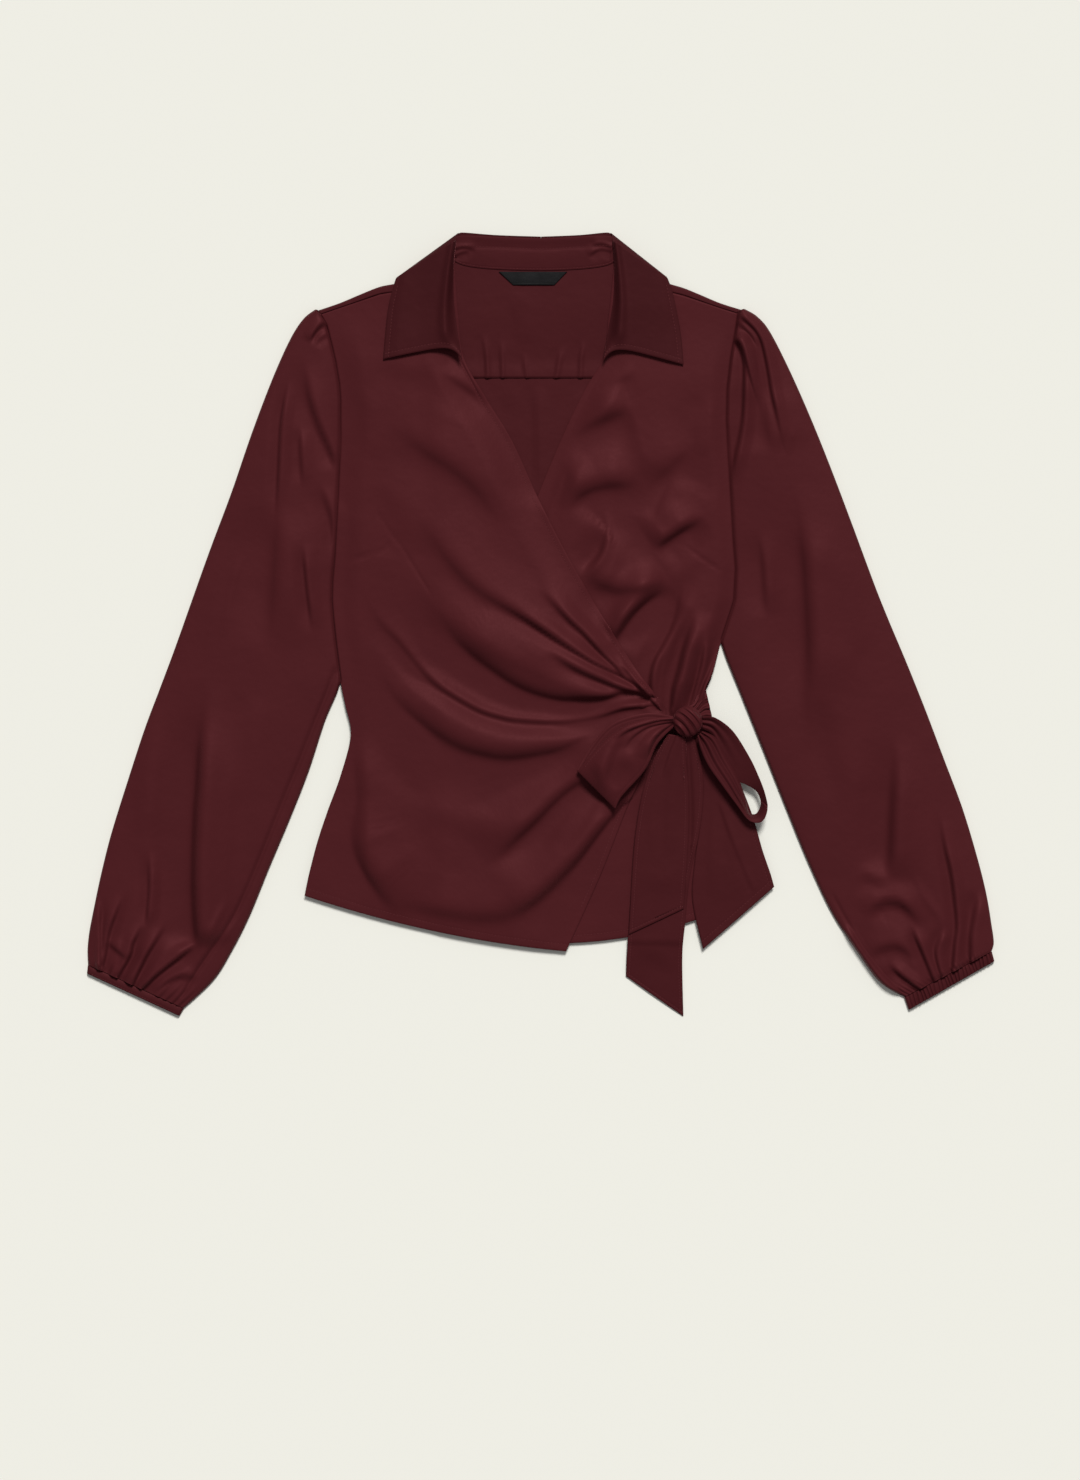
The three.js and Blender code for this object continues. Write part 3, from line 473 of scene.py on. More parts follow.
def stitch(name, paths, pitch=3.0, long=2.0, thread=0.5, lift=0.4):
    """Rows of short stitches along lines on the cloth, as one piece."""
    shape = bmesh.new()
    for path in paths:
        path = np.array(path, float)
        steps = np.r_[0, np.cumsum(np.linalg.norm(np.diff(path, axis=0), axis=1))]
        for place in np.arange(pitch / 2, steps[-1] - pitch / 2, pitch):
            start, middle, end = (
                Vector([np.interp(place + d, steps, path[:, k]) for k in range(3)]) for d in (-1, 0, 1)
            )
            middle.z += lift
            turn = (end - start).to_track_quat("X", "Z").to_matrix().to_4x4()
            size = Matrix.Diagonal((long / 2 * MM, thread / 2 * MM, thread / 2 * MM, 1))
            at = Matrix.Translation(middle * MM) @ turn @ size
            bmesh.ops.create_uvsphere(shape, u_segments=6, v_segments=4, radius=1, matrix=at)
    mesh = mesh_of(shape, name)
    shade_smooth(mesh)
    piece = add_object(name, mesh)
    piece.data.materials.append(MATERIALS["thread"])
    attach(piece, "root")
    return piece


# Finishes
WINE = (0.0625, 0.0111, 0.0134, 1)
WINE_LIGHT = (0.070, 0.0126, 0.0150, 1)
WINE_DEEP = (0.054, 0.0093, 0.0115, 1)
THREAD = (0.125, 0.030, 0.034, 1)
WINE_GLOSS = (0.95, 0.30, 0.33, 1)
BLACK = (0.0042, 0.0040, 0.0044, 1)
BLACK_LIGHT = (0.0062, 0.006, 0.0064, 1)
GREY_GLOSS = (0.7, 0.7, 0.72, 1)
COLLAR_PAINTED_SHADE = 0.64  # share of the satin's colour kept on the collar: painted shade
# share of the satin's colour kept on the back, yoke, side panel, cuffs, stand, tails and right loop: painted
# shade
SOFT_PAINTED_SHADE = 0.84
IVORY = (0.86, 0.855, 0.79, 1)


def woven(name, colour, light, deep, gloss, roughness, sheen, thread_mm):
    """A satin: threads across and along the cloth, slight puckers, and a colour that varies softly."""
    material = bpy.data.materials.new(name)
    material.use_nodes = True
    nodes = material.node_tree.nodes
    link = material.node_tree.links.new
    shader = nodes["Principled BSDF"]
    place = nodes.new("ShaderNodeTexCoord")

    def noise(scale, detail):
        node = nodes.new("ShaderNodeTexNoise")
        node.inputs["Scale"].default_value = scale
        node.inputs["Detail"].default_value = detail
        link(place.outputs["Object"], node.inputs["Vector"])
        return node

    def threads(direction, pitch_mm):
        node = nodes.new("ShaderNodeTexWave")
        node.bands_direction = direction
        node.inputs["Scale"].default_value = math.pi / 10 / (pitch_mm * MM)
        node.inputs["Distortion"].default_value = 0.6
        node.inputs["Detail Scale"].default_value = 0.02
        link(place.outputs["UV"], node.inputs["Vector"])
        return node

    def mix(factor, low, high):
        node = nodes.new("ShaderNodeMix")
        node.data_type = "RGBA"
        link(factor, node.inputs["Factor"])
        for socket, value in ((node.inputs[6], low), (node.inputs[7], high)):
            if isinstance(value, tuple):
                socket.default_value = value
            else:
                link(value, socket)
        return node.outputs[2]

    broad = noise(14, 2)
    fine = noise(420, 3)
    weft = threads("Y", thread_mm)
    warp = threads("X", thread_mm * 2.5)
    tone = mix(broad.outputs["Fac"], deep, light)
    grain = mix(fine.outputs["Fac"], colour, tone)
    shaded = mix(weft.outputs["Fac"], grain, tone)
    link(shaded, shader.inputs["Base Color"])

    rough = nodes.new("ShaderNodeMapRange")
    rough.inputs["To Min"].default_value = roughness - 0.05
    rough.inputs["To Max"].default_value = roughness + 0.08
    link(fine.outputs["Fac"], rough.inputs["Value"])
    link(rough.outputs["Result"], shader.inputs["Roughness"])

    normal = None
    for source, strength, distance_mm in (
        (noise(55, 2), 0.5, 0.9),
        (noise(190, 2), 0.35, 0.25),
        (weft, 0.25, 0.05),
        (warp, 0.25, 0.05),
    ):
        bump = nodes.new("ShaderNodeBump")
        bump.inputs["Strength"].default_value = strength
        bump.inputs["Distance"].default_value = distance_mm * MM
        link(source.outputs["Fac"], bump.inputs["Height"])
        if normal:
            link(normal, bump.inputs["Normal"])
        normal = bump.outputs["Normal"]
    link(normal, shader.inputs["Normal"])
    shader.inputs["Specular IOR Level"].default_value = 0.14
    shader.inputs["Specular Tint"].default_value = gloss
    shader.inputs["Sheen Weight"].default_value = sheen
    shader.inputs["Sheen Roughness"].default_value = 0.25
    shader.inputs["Sheen Tint"].default_value = gloss
    return material


# A share below 1 gives a darker copy of the satin's tones, which is painted shade
def wine_satin(name, share):
    tones = [tuple(share * part for part in colour[:3]) + (1,) for colour in (WINE, WINE_LIGHT, WINE_DEEP)]
    return woven(name, *tones, WINE_GLOSS, roughness=0.5, sheen=0.25, thread_mm=0.55)


MATERIALS = {
    "satin": wine_satin("wine satin", 1),
    # The collar's copy of the satin is darker: painted shade
    "satin_painted_deep_shade": wine_satin("wine satin with deep painted shade", COLLAR_PAINTED_SHADE),
    # The darker copy for the back, yoke, side panel, cuffs, stand, tails and right loop: painted shade
    "satin_painted_shade": wine_satin("wine satin with painted shade", SOFT_PAINTED_SHADE),
    "thread": woven("wine thread", THREAD, THREAD, WINE_LIGHT, WINE_GLOSS, 0.5, 0.05, 0.3),
    "label_satin": woven("black label satin", BLACK, BLACK_LIGHT, BLACK, GREY_GLOSS, 0.42, 0, 0.4),
}


def panel(sections, shares_v, shares_u, height, left=None, right=None, top=None):
    """A panel between two edges. Its sections have left x, left y, right x, right y and a bow towards +Y."""
    v, u = np.meshgrid(shares_v, shares_u, indexing="ij")
    left_x, left_y, right_x, right_y, bow = np.moveaxis(sample(sections, v), -1, 0)
    if left:
        left_x = left(left_x, left_y)
    if right:
        right_x = right(right_x, right_y)
    x = left_x + (right_x - left_x) * u
    y = left_y + (right_y - left_y) * u + bow * 4 * u * (1 - u)
    if top:
        y = y + (top(x[0]) - y[0]) * smooth(0.05, 0, v)
    return np.stack([x, y, height(x, y, u)], -1)


def drop_edge(grid, side, level, width):
    """Lets a free edge sink to the layer below it."""
    near = smooth(width, 0.5, away_from(grid, side))
    target = level(grid[..., 0], grid[..., 1])
    grid[..., 2] -= near * np.maximum(grid[..., 2] - target, 0)


# Back and yoke
BACK_FOLDS = [
    ("step", 1.0, 4, 4, 0.2, 0.2, [(-7, 216), (-6, 190), (-5, 158), (-4, 122)]),
    ("step", 0.5, 7, 7, 0.3, 0.3, [(30, 216), (26, 196), (22, 176)]),
    ("step", 0.4, 7, 7, 0.3, 0.3, [(-40, 218), (-34, 204), (-20, 190)]),
]
BACK_SECTIONS = [
    (-180, YOKE_SEAM_Y + 5, 166.5, YOKE_SEAM_Y + 5, 0), (-179, 166, 165.5, 166, 0),
    (-182, 94, 171, 94, 0), (-184.5, 40, 172.5, 40, 0), (-183.5, -4, 163.5, -4, 0),
    (-177, -49, 154, -45, 0), (-169, -85, 147, -72, 0), (-176, -135, 162, -126, -2),
    (-190, -175, 180, -180, -8), (-204.5, -220, 194, -212, -20), (-208.5, -238, 199.5, -232, -34),
]


def back_relief(x, y, u):
    fold = np.maximum(relief(BACK_FOLDS, x, y), -0.3)
    return TABLE + fold * smooth(110, 130, y) * smooth(221, 206, y)


back_grid = panel(BACK_SECTIONS, spread(90, end=HEM_LINES, length=450), spread(90), back_relief)
hem(back_grid, "bottom", BACK_HEM, rise=0.2)
cloth("back_cloth", "back", back_grid, finish="satin_painted_shade")

# The yoke's upper edge: x, y, and how far it rolls in on the shoulders
YOKE_TOP = [
    (-200, 282, 3), (-181, 288.5, 3), (-163, 296, 4.5), (-145, 303, 5.5), (-127, 307, 6.5),
    (-109, 316, 6.5), (-92, 326, 5), (-80, 333, 1), (-74, 326, 0.6), (-64, 321, 0.6), (-37, 319.5, 0.6),
    (0, 318.5, 0.6), (35, 319.5, 0.6), (58, 323, 0.6), (64, 327, 0.6), (68, 333, 1), (80, 326.5, 5),
    (98, 315, 6.5), (112, 307, 6.5), (128, 302, 5.5), (143, 296, 4.5), (161, 288.5, 3), (180, 282.5, 3),
]
YOKE_GATHERS = [
    ("step", 1.5, 3, 2, 0.5, 0, [(-54, 262), (-51, 240), (-50, 223)]),
    ("step", 1.4, 2.5, 1.6, 0.5, 0, [(-38, 258), (-37, 240), (-36, 223)]),
    ("step", 1.1, 2, 1.5, 0.5, 0, [(-17, 244), (-16, 234), (-14, 223)]),
    ("step", 1.3, 3, 2, 0.5, 0, [(16, 250), (14, 238), (12, 223)]),
    ("step", 1.4, 2.5, 1.6, 0.5, 0, [(36, 256), (34, 240), (34, 223)]),
    ("step", 0.5, 9, 9, 0.3, 0.3, [(-30, 300), (-24, 276), (-22, 250)]),
]


def shoulder_seam(x):
    xs = [row[0] for row in YOKE_TOP]
    return np.interp(x, xs, [row[1] - row[2] for row in YOKE_TOP]) - 2 * SEAM_GAP


UNDER_STAND = 4  # how far the yoke's neck edge goes in under the stand


def yoke_grid(cols, turn_rows, rows):
    """The front edge rolls up over each shoulder: s is -4 at that edge, -3 where the roll ends on top
    and 0 where it starts from the flat part."""
    u = np.linspace(0, 1, cols + 1)
    top_x, top_y, turn_in = sample(YOKE_TOP, u).T
    bottom_x = -180 + 346.5 * u
    low = back_height(top_x, top_y)
    lines = []
    for s in np.linspace(-4, 0, turn_rows + 1):
        on_shoulder = smooth(0.6, 3, turn_in)
        turn = min(math.pi, -s * math.pi / 3)
        back_in = (turn_in - 0.45) * (-s - 3) + 0.45 if s < -3 else -0.15 * s
        out = 0.9 * math.sin(turn) - back_in
        edge = 1.2 * (-s / 4 - 1) + UNDER_STAND
        y = top_y + edge + (out - edge) * on_shoulder
        z = low + LAYER / 2 * (1 - math.cos(turn)) * on_shoulder
        lines.append(np.stack([top_x, y, z], -1))
    neck = smooth(3, 0.6, turn_in) * UNDER_STAND
    for t in np.linspace(0, 1, rows + 1)[1:]:
        y = top_y + neck + (YOKE_SEAM_Y - top_y - neck) * t
        x = np.clip(top_x + (bottom_x - top_x) * t, left_side(y) + 0.6, right_side(y) - 0.6)
        z = back_height(x, y) + np.maximum(relief(YOKE_GATHERS, x, y), -0.2) + 0.72 * smooth(240, 226, y)
        lines.append(np.stack([x, y, z], -1))
    return np.array(lines)


cloth(
    "yoke_cloth", "back_yoke", yoke_grid(220, 16, 44), finish="satin_painted_shade"
)

# Left front, under the wrap
UNDER_SECTIONS = [
    (66, 323, 174, 277.5, 5), (60.5, 276, 172, 245.5, 2), (56, 241, 168, 207, 0),
    (38, 209, 168, 166.5, 0), (19, 169, 171, 117, 0), (6.5, 139.5, 173.5, 72, 0),
    (-5.5, 110.5, 175.5, 40.5, 0), (-28, 58.5, 170, 9, 0), (-55, 4.5, 162, -14.5, 0),
    (-71, -36, 154.5, -42.5, 0), (-77.5, -67.5, 147, -60, 0), (-80, -99, 151, -86, 0),
    (-82, -130.5, 161, -121.5, 0), (-82, -166.5, 174.5, -157.5, -1), (-80, -205, 185, -193.5, -6),
    (-68.5, -277, 187, -246, -22),
]
under_grid = panel(
    UNDER_SECTIONS,
    spread(200, end=HEM_LINES, length=600),
    spread(146, start=EDGE_LINES, end=SEAM_LINES, length=200),
    lambda x, y, u: under_height(x, y),
    right=lambda x, y: np.where(y > RIGHT_END, right_side(y) - 0.2, x),
    top=shoulder_seam,
)
drop_edge(under_grid, "left", lambda x, y: back_height(x, y) + 1.3, 30)
hem(under_grid, "bottom", FRONT_HEM, rise=0, groove=0.1)
hem(under_grid, "left", UNDER_EDGE, rise=0.04, groove=0.08)
cloth("left_front_cloth", "front_under", under_grid)

# Right front, wrapped over
OVER_SECTIONS = [
    (-197.5, 277.5, -78, 324, 5), (-187, 245.5, -74.5, 277, 2), (-181, 207, -69.5, 240, 0),
    (-181, 166.5, -49.5, 204, 0), (-183.5, 112.5, -26, 165.5, 0), (-186, 58.5, -2.5, 114, 0),
    (-188, 18, 24, 62, 0), (-184.5, -18, 53, 11.5, 0), (-180, -52, 82, -35, 0),
    (-176, -72, 102.5, -63, 0), (-171, -99, 112, -76, 0), (-180, -135, 109, -92, 0),
    (-191.5, -166.5, 96, -123, 0), (-200.5, -193.5, 76.5, -166.5, 0), (-208, -222, 53, -226, -3),
    (-212.5, -243.5, 22.5, -293.5, -7),
]
over_grid = panel(
    OVER_SECTIONS,
    spread(232, end=HEM_LINES, length=610),
    spread(166, start=SEAM_LINES, end=EDGE_LINES, length=220),
    lambda x, y, u: over_height(x, y),
    left=lambda x, y: np.where(y > LEFT_END, left_side(y) + 0.2, x),
    top=shoulder_seam,
)


def below_wrap(x, y):
    on_back = smooth(100, 126, y)
    return (1 - on_back) * under_height(x, y) + on_back * back_height(x, y) + ON_TOP + 0.1


# The free edge of the wrap sinks to the left front, and its own folds run beside it
over_x, over_y, over_z = np.moveaxis(over_grid, -1, 0)
from_edge = away_from(over_grid, "right")
lowest = below_wrap(over_x, over_y)
WRAP_END = (112, -76)  # where the wrap goes in below the knot
pulled_tight = smooth(105, 25, np.hypot(over_x - WRAP_END[0], over_y - WRAP_END[1]))
room_below = np.maximum(over_base(over_x, over_y) - lowest, 0)
sunk = smooth(34, 0.5, from_edge) * room_below * (1 - 0.75 * pulled_tight)
edge_fold = relief(EDGE_FOLDS, over_x, over_y) * smooth(1, 8, from_edge)
above = over_z - sunk + edge_fold - lowest
over_grid[..., 2] = lowest + (above + np.hypot(above, 0.5)) / 2
hem(over_grid, "bottom", FRONT_HEM, rise=0, groove=0.1)
hem(over_grid, "right", OVER_EDGE, rise=0.06, groove=0.04)
cloth("right_front_cloth", "front_over", over_grid)

# Side panel below the waist
PANEL_SECTIONS = [
    (138, -104, 152, -96, 0), (143.5, -135, 172.5, -129, 0), (143, -175.5, 189, -168.5, 0),
    (138, -213, 199, -202.5, 0), (136, -247.5, 206, -223, 0), (145.5, -291.5, 209.5, -235.5, 0),
]
PANEL_FOLDS = [
    ("step", 0.7, 6, 6, 0.3, 0.2, [(160, -130), (164, -170), (172, -215)]),
    ("step", 0.6, 5, 5, 0.2, 0.3, [(150, -120), (152, -160), (150, -210), (152, -250)]),
    ("crease", 0.5, 1.6, 1.6, 0.1, 0.1, [(159, -159), (167, -182), (175, -202), (185, -227),
        (191, -240)]),
]


def side_height(x, y, u):
    arch = 1.2 * np.sin(math.pi * u) * smooth(-290, -200, y)
    laid = np.maximum(TABLE + 2 * LAYER, under_height(x, y) + ON_TOP)
    return laid + arch + 0.8 * settle(relief(PANEL_FOLDS, x, y), 0.8) * np.sin(math.pi * u)


side_v = spread(90, end=HEM_LINES, length=170)
side_u = spread(44, end=EDGE_LINES, length=60)
side_grid = panel(PANEL_SECTIONS, side_v, side_u, side_height)
hem(side_grid, "bottom", FRONT_HEM, rise=0.03, groove=0.12)
hem(side_grid, "right", PANEL_EDGE, rise=0.05)
cloth("side_panel_cloth", "side_panel", side_grid, finish="satin_painted_shade")


# Sleeves: one sheet from the underarm seam across the top, round the outer fold and back below
def sleeve_grid(sections, seam, seam_end, side, folds, gathers, phase):
    """A sleeve's sections have outer x, outer y, inner x and inner y, from the cap to the cuff."""
    v = spread(170, start=(2, 4, 6), end=(0.7, 1.5, 2.5, 4), length=650)
    outer_x, outer_y, inner_x, inner_y = sample(sections, v).T[..., None]
    inner_x = np.where(inner_y > seam_end, seam(inner_y) + side * 0.2, inner_x)
    width = np.hypot(outer_x - inner_x, outer_y - inner_y)
    inset = LAYER / 2 / width
    t = spread(94, start=SEAM_LINES, end=(0.5, 1.2), length=150)[None]
    a = t * (1 - inset)
    x = inner_x + (outer_x - inner_x) * a
    y = inner_y + (outer_y - inner_y) * a
    v_all = v[:, None]
    puff = SLEEVE_PUFF * np.sin(math.pi * t) ** 0.5 * (1 - 0.5 * smooth(0.975, 1, v_all))
    puff = puff + SEAM_RISE * smooth(0.2, 1.9, t * width)
    # Small gathers that run into the cuff, uneven in size
    uneven = 0.6 + 0.4 * np.sin(9 * t + phase)
    wave = np.sin((t + 0.03 * np.sin(5 * t + phase)) * gathers * 2 * math.pi)
    pleat = 0.75 * uneven * smooth(0.95, 1, v_all) * wave
    fold = relief(folds, x, y) + pleat
    z = TABLE + LAYER + puff + settle(fold, np.maximum(puff + 0.3, 0.3)) * smooth(0, 0.5, puff)
    # The seam allowance goes under the body's edge, so that no gap shows
    in_seam = smooth(1.6, 0.2, t * width) * (inner_y > seam_end)
    z -= 1.15 * in_seam
    turn = np.linspace(0, math.pi, 9)[1:]
    a_fold = 1 - inset + inset * np.sin(turn)
    z_fold = TABLE + LAYER / 2 * (1 + np.cos(turn)) + 0 * a_fold
    a_under = (1 - inset) * (1 - np.linspace(0, 1, 13)[1:])
    a = a - 1.8 * in_seam / width
    a_all = np.concatenate([a, a_fold, a_under], 1)
    z_all = np.concatenate([z, z_fold, TABLE + 0 * a_under], 1)
    x = inner_x + (outer_x - inner_x) * a_all
    y = inner_y + (outer_y - inner_y) * a_all
    return np.stack([x, y, z_all], -1)


LEFT_SLEEVE = [
    (-203, 283.5, -198, 282.5), (-214, 274.5, -192, 264), (-226, 255.5, -186.5, 243),
    (-242, 219.5, -181, 202.5), (-260, 172, -181, 153), (-278, 119.5, -183.5, 108),
    (-294.5, 75.5, -186.5, 63), (-304.5, 48, -187.5, 36), (-313, 24, -188, 11),
    (-329.5, -22.5, -183.5, -24), (-343, -58.5, -181, -52), (-356.5, -94.5, -194.5, -86.5),
    (-371.5, -140.5, -209.5, -132.5), (-386, -187, -227.5, -178), (-395, -222.5, -244, -217),
    (-401.5, -253, -262, -261), (-406, -276.5, -279, -294.5), (-407.5, -292.5, -295, -319.5),
    (-407, -305.5, -321.5, -344.5),
]
LEFT_SLEEVE_FOLDS = [
    ("crease", 2.0, 2.2, 2.2, 0.2, 0.1, [(-208, 254.5), (-202.5, 263.5), (-197, 269), (-189, 273.5)]),
    ("crease", 0.8, 1.8, 1.8, 0.2, 0.1, [(-202.5, 253), (-197, 257.5), (-191.5, 261)]),
    ("crease", 2.6, 6, 3.4, 0.35, 0.2, [(-213.5, 236.5), (-209, 207), (-201.5, 182.5), (-191.5, 160),
        (-183.5, 141.5)]),
    ("crease", 1.8, 4, 4, 0.35, 0.3, [(-200.5, 125), (-191.5, 105.5), (-187, 85.5), (-186.5, 54)]),
    ("crease", 2.0, 2.6, 2.6, 0.3, 0.3, [(-227.5, 220.5), (-232, 193.5), (-234, 175.5), (-236, 130.5),
        (-237.5, 94.5)]),
    ("crease", 3.2, 13, 13, 0.35, 0.35, [(-236.5, 108), (-238.5, 67.5), (-240.5, 31.5), (-243, -22.5)]),
    ("ridge", 0.7, 3, 3, 0.3, 0.3, [(-268, 67.5), (-275.5, 40.5), (-281.5, 13.5), (-284.5, -13.5)]),
    ("crease", 2.0, 3, 3, 0.3, 0.3, [(-214, 72), (-211.5, 45), (-209, 22.5), (-205, -6.5)]),
    ("crease", 1.4, 3, 3, 0.3, 0.3, [(-217, 175.5), (-216, 153), (-213.5, 125)]),
    ("crease", 7.5, 10, 9, 0.35, 0.12, [(-299.5, -49.5), (-304, -85.5), (-307, -112.5), (-308.5, -139.5),
        (-310.5, -166.5), (-312, -202.5), (-312.5, -229.5), (-312, -252), (-310.5, -274.5),
        (-309, -290.5)]),
    ("ridge", -1.9, 1.4, 1.4, 0.02, 0, [(-183, -37.5), (-201.5, -83.5), (-216.5, -121.5), (-230, -154),
        (-251.5, -207.5), (-270, -250.5), (-284, -275), (-308, -310), (-321.5, -331.5)]),
    ("crease", 2.4, 2.8, 2.4, 0.3, 0.3, [(-353, -202.5), (-352, -234), (-353, -252), (-354.5, -272.5)]),
    ("crease", 2.8, 2.3, 2.3, 0, 0.35, [(-393.5, -307), (-390.5, -292.5), (-388, -276.5), (-382.5, -261),
        (-374.5, -242)]),
    ("crease", 2.8, 2.3, 2.3, 0, 0.35, [(-380, -316), (-369, -297), (-366.5, -286), (-358, -270)]),
    ("crease", 3.0, 2.5, 2.5, 0, 0.35, [(-366.5, -323), (-359, -307), (-352, -293.5), (-335.5, -267.5)]),
    ("crease", 3.4, 2.7, 2.7, 0, 0.25, [(-357.5, -326.5), (-346.5, -316), (-338.5, -309.5), (-325, -299),
        (-307, -285.5)]),
    ("crease", 1.6, 2, 2, 0, 0.35, [(-396, -303.5), (-396, -274.5), (-396, -244)]),
    ("crease", 1.6, 2.6, 2.6, 0.3, 0.3, [(-346.5, -330.5), (-334, -319.5), (-321.5, -316),
        (-307, -318.5)]),
    ("crease", 1.4, 2.6, 2.6, 0.3, 0.3, [(-391.5, -284.5), (-381.5, -292.5), (-371, -300.5)]),
    ("ridge", 1.2, 2.5, 2.5, 0.3, 0.3, [(-281, -245.5), (-289, -261), (-296, -276.5), (-304, -294.5),
        (-316, -308.5)]),
    ("step", 0.8, 12, 12, 0.3, 0.3, [(-262, -60.5), (-273.5, -110), (-281.5, -160)]),
    ("step", 0.6, 10, 10, 0.3, 0.3, [(-352, -90), (-360, -139.5), (-366.5, -190)]),
]
left_sleeve_grid = sleeve_grid(LEFT_SLEEVE, left_side, LEFT_END, -1, LEFT_SLEEVE_FOLDS, 14, 0.4)
cloth("left_sleeve_cloth", "sleeve_left", left_sleeve_grid)

RIGHT_SLEEVE = [
    (183, 284, 177.5, 282.5), (194.5, 277, 175, 262), (206, 263, 172, 243), (224, 227.5, 168.5, 204),
    (244, 182, 168.5, 162), (262, 137, 171, 117), (279, 92, 174.5, 72), (291, 59.5, 175, 46),
    (303, 27.5, 173.5, 22), (315, -2, 168, 3), (328.5, -34, 162.5, -16), (345.5, -76.5, 181, -65),
    (362.5, -121.5, 200, -112.5), (379, -165.5, 220.5, -164.5), (392.5, -210.5, 240.5, -213.5),
    (400.5, -243, 262, -259), (405, -270, 285.5, -295), (407, -285.5, 305, -321),
    (405, -293.5, 327, -334.5),
]
RIGHT_SLEEVE_FOLDS = [
    ("crease", 2.2, 2.5, 2.5, 0.1, 0.2, [(177.5, 278), (184.5, 272.5), (192.5, 264.5), (198, 254.5),
        (201.5, 240.5), (204.5, 225), (207, 209), (211.5, 189), (218, 158.5)]),
    ("crease", 1.5, 2, 2, 0.1, 0.3, [(174.5, 272.5), (182.5, 266.5), (190, 258.5), (194.5, 249.5)]),
    ("crease", 1.8, 2, 2, 0.1, 0.35, [(173.5, 256.5), (180, 247.5), (184.5, 235), (189, 218.5),
        (196, 197)]),
    ("crease", 3.4, 3, 3, 0.1, 0.15, [(173, 258.5), (179, 251), (182, 238.5), (182.5, 220.5),
        (182, 202.5), (181, 184.5), (178, 166.5), (174.5, 150.5), (171, 128.5)]),
    ("ridge", 0.5, 1.6, 1.6, 0.2, 0.2, [(218, 158.5), (222.5, 160), (225, 166.5), (226, 175.5)]),
    ("crease", 2.0, 10, 10, 0.35, 0.35, [(200.5, 213.5), (202.5, 184.5), (207, 155.5)]),
    ("crease", 2.2, 6, 6, 0.35, 0.35, [(195.5, 83.5), (199, 54), (200.5, 31.5), (203.5, 4.5)]),
    ("crease", 4.6, 12, 12, 0.4, 0.35, [(227.5, 130.5), (233, 85.5), (236, 58.5), (238.5, 22.5),
        (240.5, -22.5), (239.5, -58.5), (235, -112.5)]),
    ("crease", 4.4, 8, 8, 0.4, 0.25, [(318.5, -99), (317, -139.5), (315, -171), (314, -202.5),
        (311.5, -229.5)]),
    ("crease", 1.1, 4.5, 4.5, 0.4, 0.4, [(284.5, -224), (294.5, -228.5), (305, -230.5), (317, -227.5)]),
    ("crease", 3.0, 5.4, 5, 0.3, 0.3, [(290.5, -263.5), (300.5, -254.5), (310.5, -250), (321.5, -251),
        (330.5, -257.5), (343, -271)]),
    ("crease", 1.6, 4.5, 4.5, 0.35, 0.35, [(294.5, -299), (307, -291.5), (321.5, -290.5),
        (338.5, -301.5)]),
    ("crease", 2.8, 2.6, 2.6, 0.3, 0, [(357.5, -168.5), (362.5, -198), (368, -222.5), (371.5, -247.5),
        (373.5, -270), (371.5, -288), (370, -308.5)]),
    ("crease", 2.6, 4, 4, 0.3, 0, [(393.5, -240.5), (389, -261), (386, -279), (386, -299)]),
    ("ridge", 0.9, 2.5, 2.5, 0.3, 0.3, [(334, -222.5), (343, -241), (352, -254.5), (364.5, -271)]),
    ("crease", 2.6, 2.5, 2.5, 0.3, 0, [(333, -272.5), (340, -289), (345.5, -301.5), (353.5, -321.5)]),
    ("crease", 2.0, 2.3, 2.3, 0.3, 0, [(363.5, -272.5), (356.5, -285.5), (354.5, -297), (360, -316)]),
    ("crease", 2.4, 2.5, 2.5, 0.3, 0, [(312.5, -306), (323, -315), (332, -321.5), (344.5, -331)]),
    ("crease", 3.4, 2.2, 2.2, 0.15, 0, [(271, -272), (280, -287), (289, -300.5), (301.5, -317.5),
        (314, -331)]),
    ("ridge", -1.0, 1.0, 1.0, 0.1, 0, [(261, -241), (274.5, -265.5), (290, -290.5), (306, -311.5),
        (329.5, -335.5)]),
    ("step", 0.8, 12, 12, 0.3, 0.3, [(255.5, -60.5), (262, -110), (272, -160)]),
    ("step", 0.6, 12, 12, 0.3, 0.3, [(262, 60.5), (272, 20), (280, -29.5)]),
]
right_sleeve_grid = sleeve_grid(RIGHT_SLEEVE, right_side, RIGHT_END, 1, RIGHT_SLEEVE_FOLDS, 24, 1.1)
cloth("right_sleeve_cloth", "sleeve_right", right_sleeve_grid)

# Cuffs: a flattened band, plain on the left and finely gathered by elastic on the right
CUFF_THICK = 4.2
CUFF_WAVES = 24


